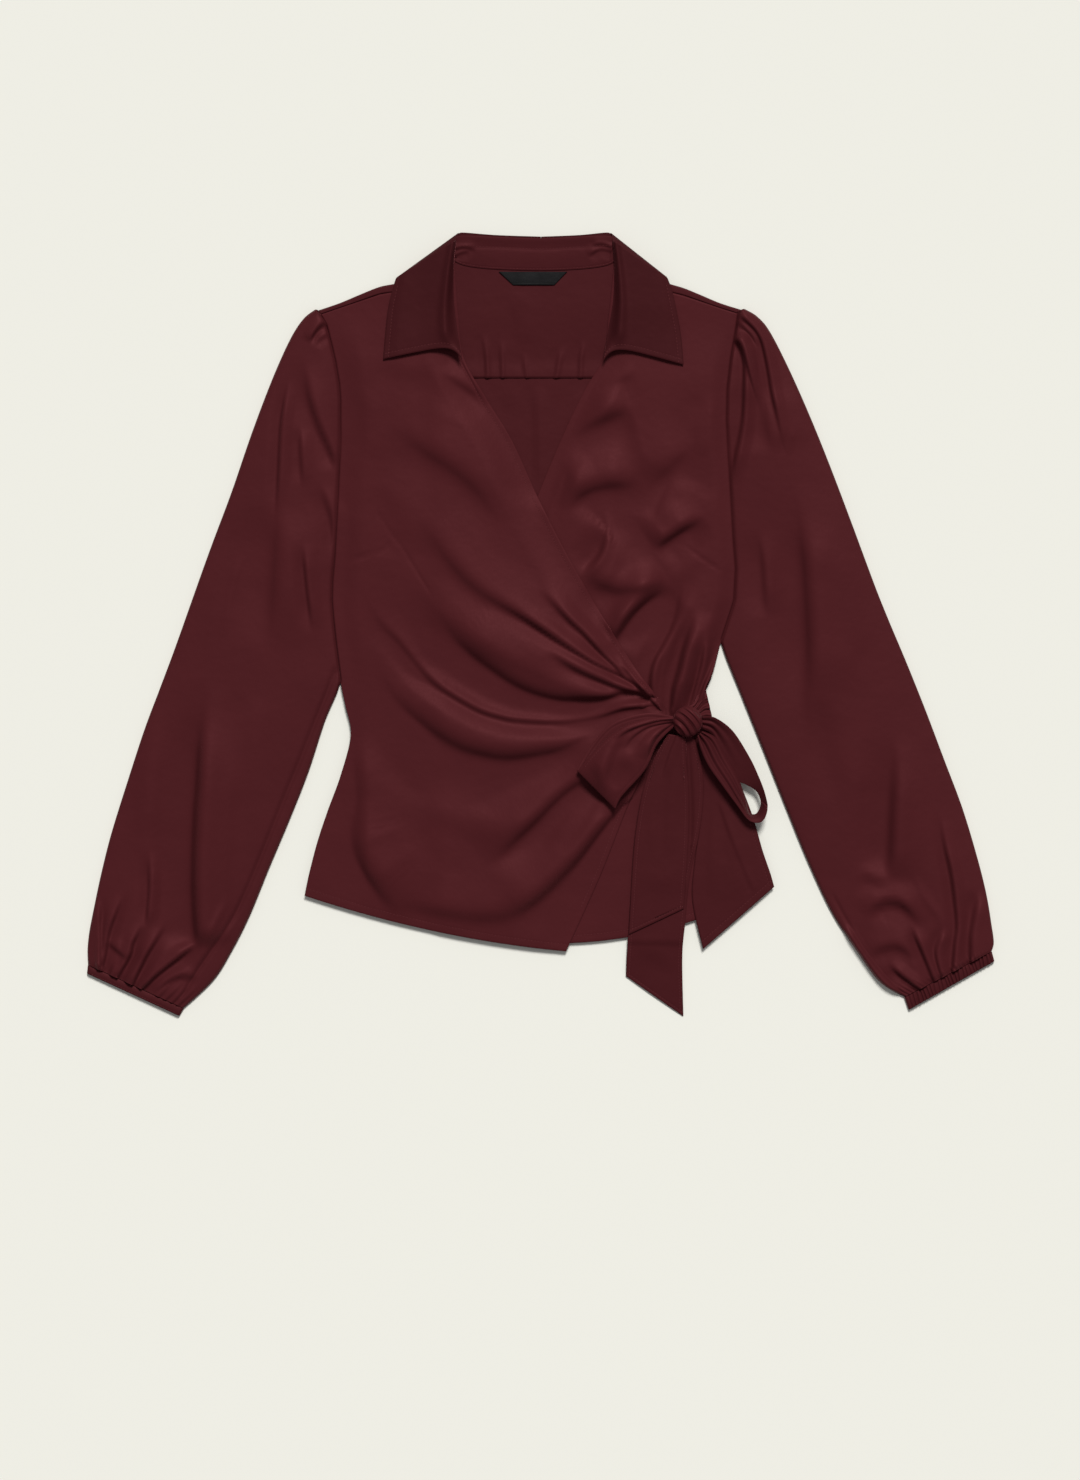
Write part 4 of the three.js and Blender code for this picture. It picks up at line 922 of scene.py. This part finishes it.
def cuff_grid(seam, edge, waves, bulge):
    """A band between the two ends of its seam and of its free edge, closed round its wide sides."""
    top = 240
    lines = []
    for t in np.linspace(0, 1, 13):
        start = np.array(seam[0]) + (np.array(edge[0]) - seam[0]) * t
        end = np.array(seam[1]) + (np.array(edge[1]) - seam[1]) * t
        across = end - start
        width = np.linalg.norm(across)
        across = across / width
        radius = CUFF_THICK / 2 - FABRIC / 2
        share = np.linspace(0, 1, top + 1)
        along = radius + (width - 2 * radius) * share
        wobble = share + 0.006 * np.sin(23 * share + 2 * t) + 0.004 * np.sin(61 * share)
        wave = np.cos(wobble * waves * 2 * math.pi) * (0.65 + 0.2 * np.sin(17 * share))
        z = CUFF_THICK - FABRIC / 2 + bulge * math.sin(math.pi * t) + (0.75 * wave if waves else 0)
        turn = np.linspace(0, math.pi, 9)[1:-1]
        middle = CUFF_THICK / 2
        along = np.concatenate([along, width - radius + radius * np.sin(turn)])
        heights = np.concatenate([z + 0 * share, middle + radius * np.cos(turn)])
        under = np.linspace(width - radius, radius, 13)
        along = np.concatenate([along, under, radius - radius * np.sin(turn), [radius]])
        closing = middle - radius * np.cos(turn)
        heights = np.concatenate([heights, 0 * under + FABRIC / 2, closing, heights[:1]])
        xy = start + along[:, None] * across
        lines.append(np.column_stack([xy, heights]))
    return np.array(lines)


LEFT_CUFF_SEAM = [(-407.2, -305.9), (-321.7, -344.9)]
LEFT_CUFF_EDGE = [(-408, -313.5), (-325.5, -351.5)]
RIGHT_CUFF_SEAM = [(405.2, -293.9), (327.2, -334.9)]
RIGHT_CUFF_EDGE = [(407.5, -302.5), (331, -346)]
left_cuff_grid = cuff_grid(LEFT_CUFF_SEAM, LEFT_CUFF_EDGE, 0, 0.5)
right_cuff_grid = cuff_grid(RIGHT_CUFF_SEAM, RIGHT_CUFF_EDGE, CUFF_WAVES, 0.5)
for side, grid, held in (("left", left_cuff_grid, "laid"), ("right", right_cuff_grid, "gathered")):
    cloth(side + "_cuff_cloth", "cuff_" + side, grid, finish="satin_painted_shade", closed=True)


# Strips between two edges: collar, sash, bow and tails
def even_bow(u):
    return 4 * u * (1 - u)


def strip(sections, shares_v, shares_u, shape, bowed=even_bow):
    """A strip's sections have x, y, z of one edge, x, y, z of the other, and a bow towards +Y."""
    v, u = np.meshgrid(shares_v, shares_u, indexing="ij")
    ax, ay, az, bx, by, bz, bow = np.moveaxis(sample(sections, v), -1, 0)
    x = ax + (bx - ax) * u
    y = ay + (by - ay) * u + bow * bowed(u)
    z = az + (bz - az) * u
    return np.stack([x, y, shape(x, y, z, u, v)], -1)


LEAF = TABLE + 3 * LAYER
LEAF_SHARE = 4.2 / 9


def leaf_bow(u):
    """The leaf's lower edge runs nearly straight from its point and drops at the neck."""
    return 1.8 * (1 - u) * (1 - np.exp(-u / 0.12))


def leaf_on(front):
    """Heights of a collar half: its leaf lies on a front, and the rest as its sections say."""

    def shape(x, y, z, u, v):
        crown = 2.7 + 0.5 * np.sin(math.pi * u) ** 0.8 * smooth(0, 0.12, v) - 1.2 * smooth(0.8, 1, u)
        raised = front(x, y) + ON_TOP + 0.4 + crown
        # The roll line stands up, then the cloth turns down steeply into the neck
        at_roll = 0.05 + 0.13 * smooth(0.45, 0.05, v)
        roll = 2.6 * np.exp(-(((u - at_roll) / 0.07) ** 2)) - 5.5 * smooth(at_roll, 0, u)
        raised = np.maximum(raised + roll * smooth(0.02, 0.1, v), back_height(x, y) + 1.6)
        return np.where(v < LEAF_SHARE, raised, np.maximum(TABLE, z * 0.92))

    return shape


LEFT_COLLAR = [
    (-70.5, 237, LEAF - 1.5, -141.5, 238.5, TABLE, 9), (-75, 262, LEAF, -140, 257, TABLE, 4),
    (-78.5, 292, LEAF + 1.5, -137.5, 282, TABLE, 0), (-78.5, 322, LEAF + 1.5, -133.5, 300, TABLE, 0),
    (-76.5, 343, LEAF + 0.6, -130.5, 310, LEAF, 0), (-75, 351, 3.2, -128.5, 313, 3.2, 0),
    (-73.5, 352.5, TABLE, -126, 312.5, TABLE, 0), (-68, 353, TABLE, -112, 303, TABLE, 0),
    (-40, 350.8, TABLE, -60, 300, TABLE, 0), (-0.15, 349.4, TABLE, -0.15, 297, TABLE, 0),
]
RIGHT_COLLAR = [
    (56, 237, LEAF - 1.5, 128, 233.5, TABLE, 9), (60, 262, LEAF, 125.5, 261, TABLE, 4),
    (65, 292, LEAF + 1.5, 120.5, 288, TABLE, 0), (66, 322, LEAF + 1.5, 117, 302, TABLE, 0),
    (64.5, 343, LEAF + 0.6, 114, 310, LEAF, 0), (63.5, 351, 3.2, 112.5, 313, 3.2, 0),
    (62, 352.5, TABLE, 110, 312.5, TABLE, 0), (57, 353, TABLE, 97, 303, TABLE, 0),
    (34, 350.8, TABLE, 52, 300, TABLE, 0), (0.15, 349.4, TABLE, 0.15, 297, TABLE, 0),
]
collar_v = spread(150, start=EDGE_LINES, length=240)
collar_u = spread(46, start=(0.5, 1.2), end=EDGE_LINES, length=62)
left_collar_grid = strip(LEFT_COLLAR, collar_v, collar_u, leaf_on(over_height), leaf_bow)
right_collar_grid = strip(RIGHT_COLLAR, collar_v, collar_u, leaf_on(under_height), leaf_bow)
for grid in (left_collar_grid, right_collar_grid):
    hem(grid, "top", COLLAR_EDGE, rise=0.02, groove=0.1)
    on_leaf = grid[..., 2] > LEAF - 2
    hemmed = grid.copy()
    hem(hemmed, "right", COLLAR_EDGE, rise=0.03, groove=0.12)
    grid[..., 2] = np.where(on_leaf, hemmed[..., 2], grid[..., 2])
# The collar halves take the darker copy of the satin, painted shade
for side, grid, front in (
    ("left", left_collar_grid, "right_front_cloth"),
    ("right", right_collar_grid, "left_front_cloth"),
):
    cloth(side + "_collar_cloth", "collar_" + side, grid, finish="satin_painted_deep_shade")

# Inside of the stand, and the bare label below it
STAND = TABLE + LAYER
STAND_SECTIONS = [
    (-76, 349, STAND, -79, 327.5, STAND, 0), (-66, 350, STAND, -68, 323, STAND, 0),
    (-40, 348.8, STAND, -44, 320, STAND, 0), (0, 347.4, STAND, 0, 318.6, STAND, 0),
    (30, 348.8, STAND, 36, 320, STAND, 0), (55, 350, STAND, 58, 323, STAND, 0),
    (64, 349, STAND, 67.5, 327.5, STAND, 0),
]
STAND_FOLDS = [
    ("crease", 0.9, 2, 2, 0.1, 0.3, [(-80, 337), (-70, 339), (-58, 337)]),
    ("crease", 0.9, 1.8, 1.8, 0.1, 0.3, [(-78, 331), (-71, 334), (-64, 335)]),
    ("crease", 1.0, 2, 2, 0.3, 0.1, [(42, 331), (53, 337), (64, 335)]),
    ("crease", 0.8, 1.8, 1.8, 0.3, 0.1, [(46, 341), (55, 342), (64, 339)]),
    ("ridge", -0.25, 0.9, 0.9, 0.05, 0.05, [(-74, 339), (-40, 339.5), (0, 337.5), (36, 339.5),
        (62, 339)]),
]


def stand_shape(x, y, z, u, v):
    roll = 0.7 * np.sin(math.pi * np.clip(u, 0, 1)) + 1.2 * smooth(0.3, 0, u)
    return z + 0.75 + roll + settle(relief(STAND_FOLDS, x, y), 0.8) * smooth(1, 0.8, u)


stand_u = spread(26, start=(0.6, 1.4), end=EDGE_LINES, length=30)
stand_grid = strip(STAND_SECTIONS, spread(120), stand_u, stand_shape)
hem(stand_grid, "right", 1.6, rise=0.1)
cloth("stand_cloth", "collar_stand", stand_grid, finish="satin_painted_shade")

LABEL_ROWS = [(-38, 317.5, 0, 23.5, 317.5, 0, 0), (-25, 305.5, 0, 12, 305.5, 0, 0)]


def label_shape(x, y, z, u, v):
    puff = 0.35 * np.sin(math.pi * u) * v
    return back_height(x, y) + FABRIC / 2 + 0.75 + puff + 0.12 * np.sin(0.31 * x)


label_v = spread(16, start=(0.5, 1, 1.5), end=(0.5, 1, 1.5), length=12)
label_grid = strip(LABEL_ROWS, label_v, spread(60), label_shape)
hem(label_grid, "bottom", 1.4, rise=0.15, groove=0.12)
cloth("label_cloth", "neck_label", label_grid, thick=0.5, finish="label_satin")

# Waist tie, from the side seam to the knot
TIE_SECTIONS = [
    (147.5, -55.5, 4.2, 154, -84, 4.2, 0), (143, -60, 5.6, 148.5, -83, 5.6, 0),
    (137.5, -70, 8.4, 143, -84, 8.4, 0), (133, -73, 9.6, 139, -86, 9.6, 0),
]


def tie_shape(x, y, z, u, v):
    around = u * 2 * math.pi
    pleats = 0.9 * np.sin(3.5 * around + 0.6 * np.sin(4 * v)) + 0.35 * np.sin(9 * around + 1)
    return z + 1.2 * np.sin(math.pi * u) + pleats * np.sin(math.pi * u) ** 0.4


tie_grid = strip(TIE_SECTIONS, spread(30), spread(60), tie_shape)
cloth("waist_tie_cloth", "waist_tie", tie_grid)

# Tails, the shorter one on top
LOWER_TAIL = [
    (119, -99, 8.6, 137, -100.2, 8.6, 0), (110, -125, 8.2, 144, -125, 7.2, 0),
    (98, -155, 8, 146, -150, 6.4, 0), (88, -195, 6.6, 142.5, -185, 6, 0),
    (81.5, -235, 5, 133.5, -228, 5.6, 0), (78.5, -275, 4.3, 129.5, -268, 4.5, 0),
    (77, -300, 3, 127, -298, 3, 0), (76.5, -316, 1.8, 128, -352, 1.2, 0),
]
UPPER_TAIL = [
    (114, -98, 11.2, 129.5, -100.8, 11.2, 0), (101, -122, 10.4, 130.5, -122, 10.2, 0),
    (92, -148, 10, 132.5, -150, 9, 0), (86, -180, 8.9, 132.5, -180, 8.2, 0),
    (82.5, -215, 7.5, 131, -215, 7.8, 0), (79, -278, 6.2, 128, -255, 6.8, 0),
]
TAIL_FOLDS = [
    ("step", 0.9, 6, 6, 0, 0.3, [(124, -96), (116, -130), (112, -170), (112, -210)]),
    ("step", 0.6, 5, 5, 0, 0.3, [(118, -98), (106, -128), (98, -170), (94, -205)]),
    ("crease", 0.8, 2.5, 2, 0, 0.4, [(128, -100), (126, -120), (126, -142)]),
    ("crease", 0.8, 2.5, 2, 0, 0.4, [(121, -100), (114, -118), (108, -138)]),
    ("step", 0.4, 9, 9, 0.3, 0.3, [(84, -230), (104, -236), (126, -232)]),
    ("step", 0.5, 8, 8, 0.3, 0.3, [(80, -296), (102, -300), (124, -312)]),
]
BESIDE_TAIL = [
    ("ridge", -1.8, 2, 2, 0, 0.3, [(131, -104), (133.5, -140), (134.5, -170), (133.5, -200), (131, -236)]),
]


def tail_shape(clear):
    """Heights of a tail that lies clear of the fronts by some mm. The lower one sinks beside the upper."""

    def shape(x, y, z, u, v):
        arch = np.sin(math.pi * u)
        soft = 0.7 * arch + 0.8 * settle(relief(TAIL_FOLDS, x, y), 0.8) * arch**0.5
        on_front = smooth(-300, -282, y)
        below = fronts_height(x, y)
        if clear < 2:
            soft = soft + relief(BESIDE_TAIL, x, y)
        laid = np.maximum(z, (below + clear) * on_front) + soft
        return np.maximum(laid, (below + FABRIC + 0.1) * on_front)

    return shape


tail_u = spread(44, start=EDGE_LINES, end=EDGE_LINES, length=50)
lower_grid = strip(LOWER_TAIL, spread(110, end=EDGE_LINES, length=240), tail_u, tail_shape(ON_TOP))
upper_grid = strip(UPPER_TAIL, spread(90, end=EDGE_LINES, length=170), tail_u, tail_shape(2.8))
for grid in (lower_grid, upper_grid):
    for side in ("bottom", "left", "right"):
        hem(grid, side, SASH_EDGE, rise=0.05, groove=0.16)
cloth("lower_tail_cloth", "tie_tail_lower", lower_grid, finish="satin_painted_shade")
cloth("upper_tail_cloth", "tie_tail_upper", upper_grid, finish="satin_painted_shade")

# Bow loops: out below, round the end and back on top
LEFT_LOOP = [
    (118.1, -82, 11.4, 119.1, -93, 11.4, 0), (94, -79.5, 12.6, 101, -106, 12.6, 0),
    (64, -88.5, 12.8, 88, -131, 12.8, 0), (44.5, -109.5, 13, 70, -152, 13, 0),
    (32.5, -131, 15.4, 66.5, -165, 15.4, 0), (46.5, -114.5, 19.2, 72, -154, 18.4, 0),
    (68, -95, 20.4, 93, -130, 19.8, 0), (93, -85, 20.2, 104, -107, 19.8, 0),
    (118, -83, 16.8, 119.4, -91, 16.4, 0),
]
RIGHT_LOOP = [
    (144.7, -82.5, 15, 144.7, -93, 12, 0), (156, -83.5, 17, 154, -99, 10, 0),
    (172, -95.5, 14.5, 160, -115, 9, 0), (187, -119, 14, 171, -137, 9, 0),
    (195, -136, 14, 184, -143.5, 9, 0), (200.5, -151, 14.5, 193.5, -149.5, 9.2, 0),
    (203, -166, 15.4, 197.5, -160, 9.6, 0), (197.5, -177, 15, 193.5, -169.5, 9.6, 0),
    (186.5, -175.5, 15.6, 186.5, -168.5, 9.8, 0), (176, -162.5, 16.6, 183, -155, 10.4, 0),
    (163, -145, 17.4, 177, -138, 11, 0), (150, -126.5, 17.4, 167, -120, 11.4, 0),
    (143, -111, 16.4, 157, -102, 12.4, 0), (140.4, -100, 15, 144.6, -95.5, 13, 0),
]
LEFT_LOOP_FOLDS = [
    ("step", 1.4, 6, 6, 0.2, 0.3, [(62, -150), (60, -130), (66, -112), (80, -98), (104, -90)]),
    ("crease", 2.0, 3, 2, 0.3, 0, [(94, -122), (100, -106), (108, -96), (119, -89)]),
    ("crease", 1.4, 2.5, 1.6, 0.3, 0, [(66, -104), (78, -95), (96, -88.5), (108, -86), (119, -85)]),
    ("crease", 1.4, 2.5, 1.6, 0.3, 0, [(74, -112), (84, -100), (98, -91.5), (119, -87)]),
    ("step", 0.8, 8, 8, 0.3, 0.3, [(50, -140), (66, -128), (84, -124)]),
]
BOW_RISE = 1.6  # the left loop stands clear of the gathers below it


def left_loop_shape(x, y, z, u, v):
    on_top = smooth(0.5, 0.62, v)
    bulge = 3.2 * np.sin(math.pi * u) ** 0.7 * on_top * smooth(1, 0.8, v)
    fold = settle(1.4 * relief(LEFT_LOOP_FOLDS, x, y), 2)
    return z + BOW_RISE * smooth(120, 100, x) + bulge + on_top * fold


def right_loop_shape(x, y, z, u, v):
    coming_back = smooth(0.62, 0.72, v)
    near_knot = smooth(0.25, 0, v) + smooth(0.8, 1, v)
    arch = np.sin(math.pi * u)
    ribs = 1.1 * np.sin(u * 2.5 * 2 * math.pi + 0.5) * (coming_back + near_knot) * arch**0.6
    return z + ribs + 1.6 * arch * (1 - 1.2 * (v < 0.45))


left_loop_u = spread(50, start=EDGE_LINES, end=EDGE_LINES, length=46)
left_loop_grid = strip(LEFT_LOOP, spread(170), left_loop_u, left_loop_shape)
for side in ("left", "right"):
    hem(left_loop_grid, side, SASH_EDGE, rise=0.05, groove=0.16)
right_loop_u = spread(26, start=(0.4, 1), end=(0.4, 1), length=18)
right_loop_grid = strip(RIGHT_LOOP, spread(200), right_loop_u, right_loop_shape)
cloth("left_loop_cloth", "bow_loop_left", left_loop_grid)
cloth("right_loop_cloth", "bow_loop_right", right_loop_grid, finish="satin_painted_shade")

# Knot: the sash wound once round the crossing, with the pleats that run round it
KNOT = (131.5, -87, 14.5)
KNOT_SIZE = (26, 28, 16.5)
PLEAT_CENTRE = (108, -109)  # the pleats run in arcs round this point
shape = bmesh.new()
bmesh.ops.create_uvsphere(shape, u_segments=96, v_segments=64, radius=0.5)
for vert in shape.verts:
    x, y, z = (place + part * size for place, part, size in zip(KNOT, vert.co, KNOT_SIZE))
    far = math.hypot(x - PLEAT_CENTRE[0], y - PLEAT_CENTRE[1])
    turn = math.atan2(y - PLEAT_CENTRE[1], x - PLEAT_CENTRE[0])
    pleat = 1.3 * math.sin(far * 1.1 + 0.5 * math.sin(turn * 3)) + 0.3 * math.sin(far * 2.7 + turn)
    upper = max(0.0, 2 * vert.co.z)
    vert.co = Vector((x, y, z + pleat * upper**0.7)) * MM
bmesh.ops.recalc_face_normals(shape, faces=shape.faces)
mesh = mesh_of(shape, "knot_cloth")
shade_smooth(mesh)
knot = add_object("knot_cloth", mesh)
add_wall(knot, FABRIC, -1)
dress(knot, "bow_knot", "satin")

# Stitch rows, in step with the hems
front_rows = [inside_of(over_grid, "bottom", FRONT_HEM), inside_of(over_grid, "right", OVER_EDGE)[8:-20]]
stitch("right_front_stitches", front_rows)
stitch("left_front_stitches", [inside_of(under_grid, "bottom", FRONT_HEM)])
panel_rows = [inside_of(side_grid, "bottom", FRONT_HEM), inside_of(side_grid, "right", PANEL_EDGE)]
stitch("side_panel_stitches", panel_rows)
for name, grid in (("upper_tail", upper_grid), ("lower_tail", lower_grid)):
    tail_rows = [inside_of(grid, side, SASH_EDGE) for side in ("left", "right", "bottom")]
    stitch(name + "_stitches", tail_rows, pitch=SASH_PITCH)
loop_rows = [inside_of(left_loop_grid, "left", SASH_EDGE)[95:160]]
stitch("left_loop_stitches", loop_rows, pitch=SASH_PITCH)
for name, grid in (("left_collar", left_collar_grid), ("right_collar", right_collar_grid)):
    outer = inside_of(grid, "right", COLLAR_EDGE)
    leaf_rows = int(len(outer) * 0.4)
    collar_rows = [inside_of(grid, "top", COLLAR_EDGE), outer[:leaf_rows]]
    stitch(name + "_stitches", collar_rows)
stand_rows = [inside_of(stand_grid, "right", 1.4), inside_of(stand_grid, "left", 9.5)]
stitch("stand_stitches", stand_rows)
cuff_rows = [left_cuff_grid[row, 6:236] for row in (2, -3)]
stitch("left_cuff_stitches", cuff_rows, pitch=SASH_PITCH)

# Plain pale floor, and soft studio light from above the collar
ground = bpy.data.materials.new("ivory paper")
ground.use_nodes = True
paper = ground.node_tree.nodes["Principled BSDF"]
paper.inputs["Base Color"].default_value = IVORY
paper.inputs["Roughness"].default_value = 0.9
paper.inputs["Specular IOR Level"].default_value = 0.1
shape = bmesh.new()
bmesh.ops.create_grid(shape, x_segments=1, y_segments=1, size=6)
floor = add_object("floor", mesh_of(shape, "floor"))
floor.data.materials.append(ground)

LIGHT_FROM = (0.2, 1.0, 1.35)
light_data = bpy.data.lights.new("key", "SUN")
light_data.energy = 2.95
light_data.angle = math.radians(18)
light_data.color = (1, 0.99, 0.97)
light = add_object("key", light_data)
light.rotation_mode = "QUATERNION"
light.rotation_quaternion = Vector(LIGHT_FROM).to_track_quat("Z", "Y")
world = bpy.data.worlds.new("studio")
world.use_nodes = True
sky = world.node_tree.nodes["Background"]
sky.inputs["Color"].default_value = (0.97, 0.98, 1, 1)
sky.inputs["Strength"].default_value = 0.26
bpy.context.scene.world = world
bpy.context.scene.view_settings.view_transform = "Standard"

bpy.context.view_layer.update()
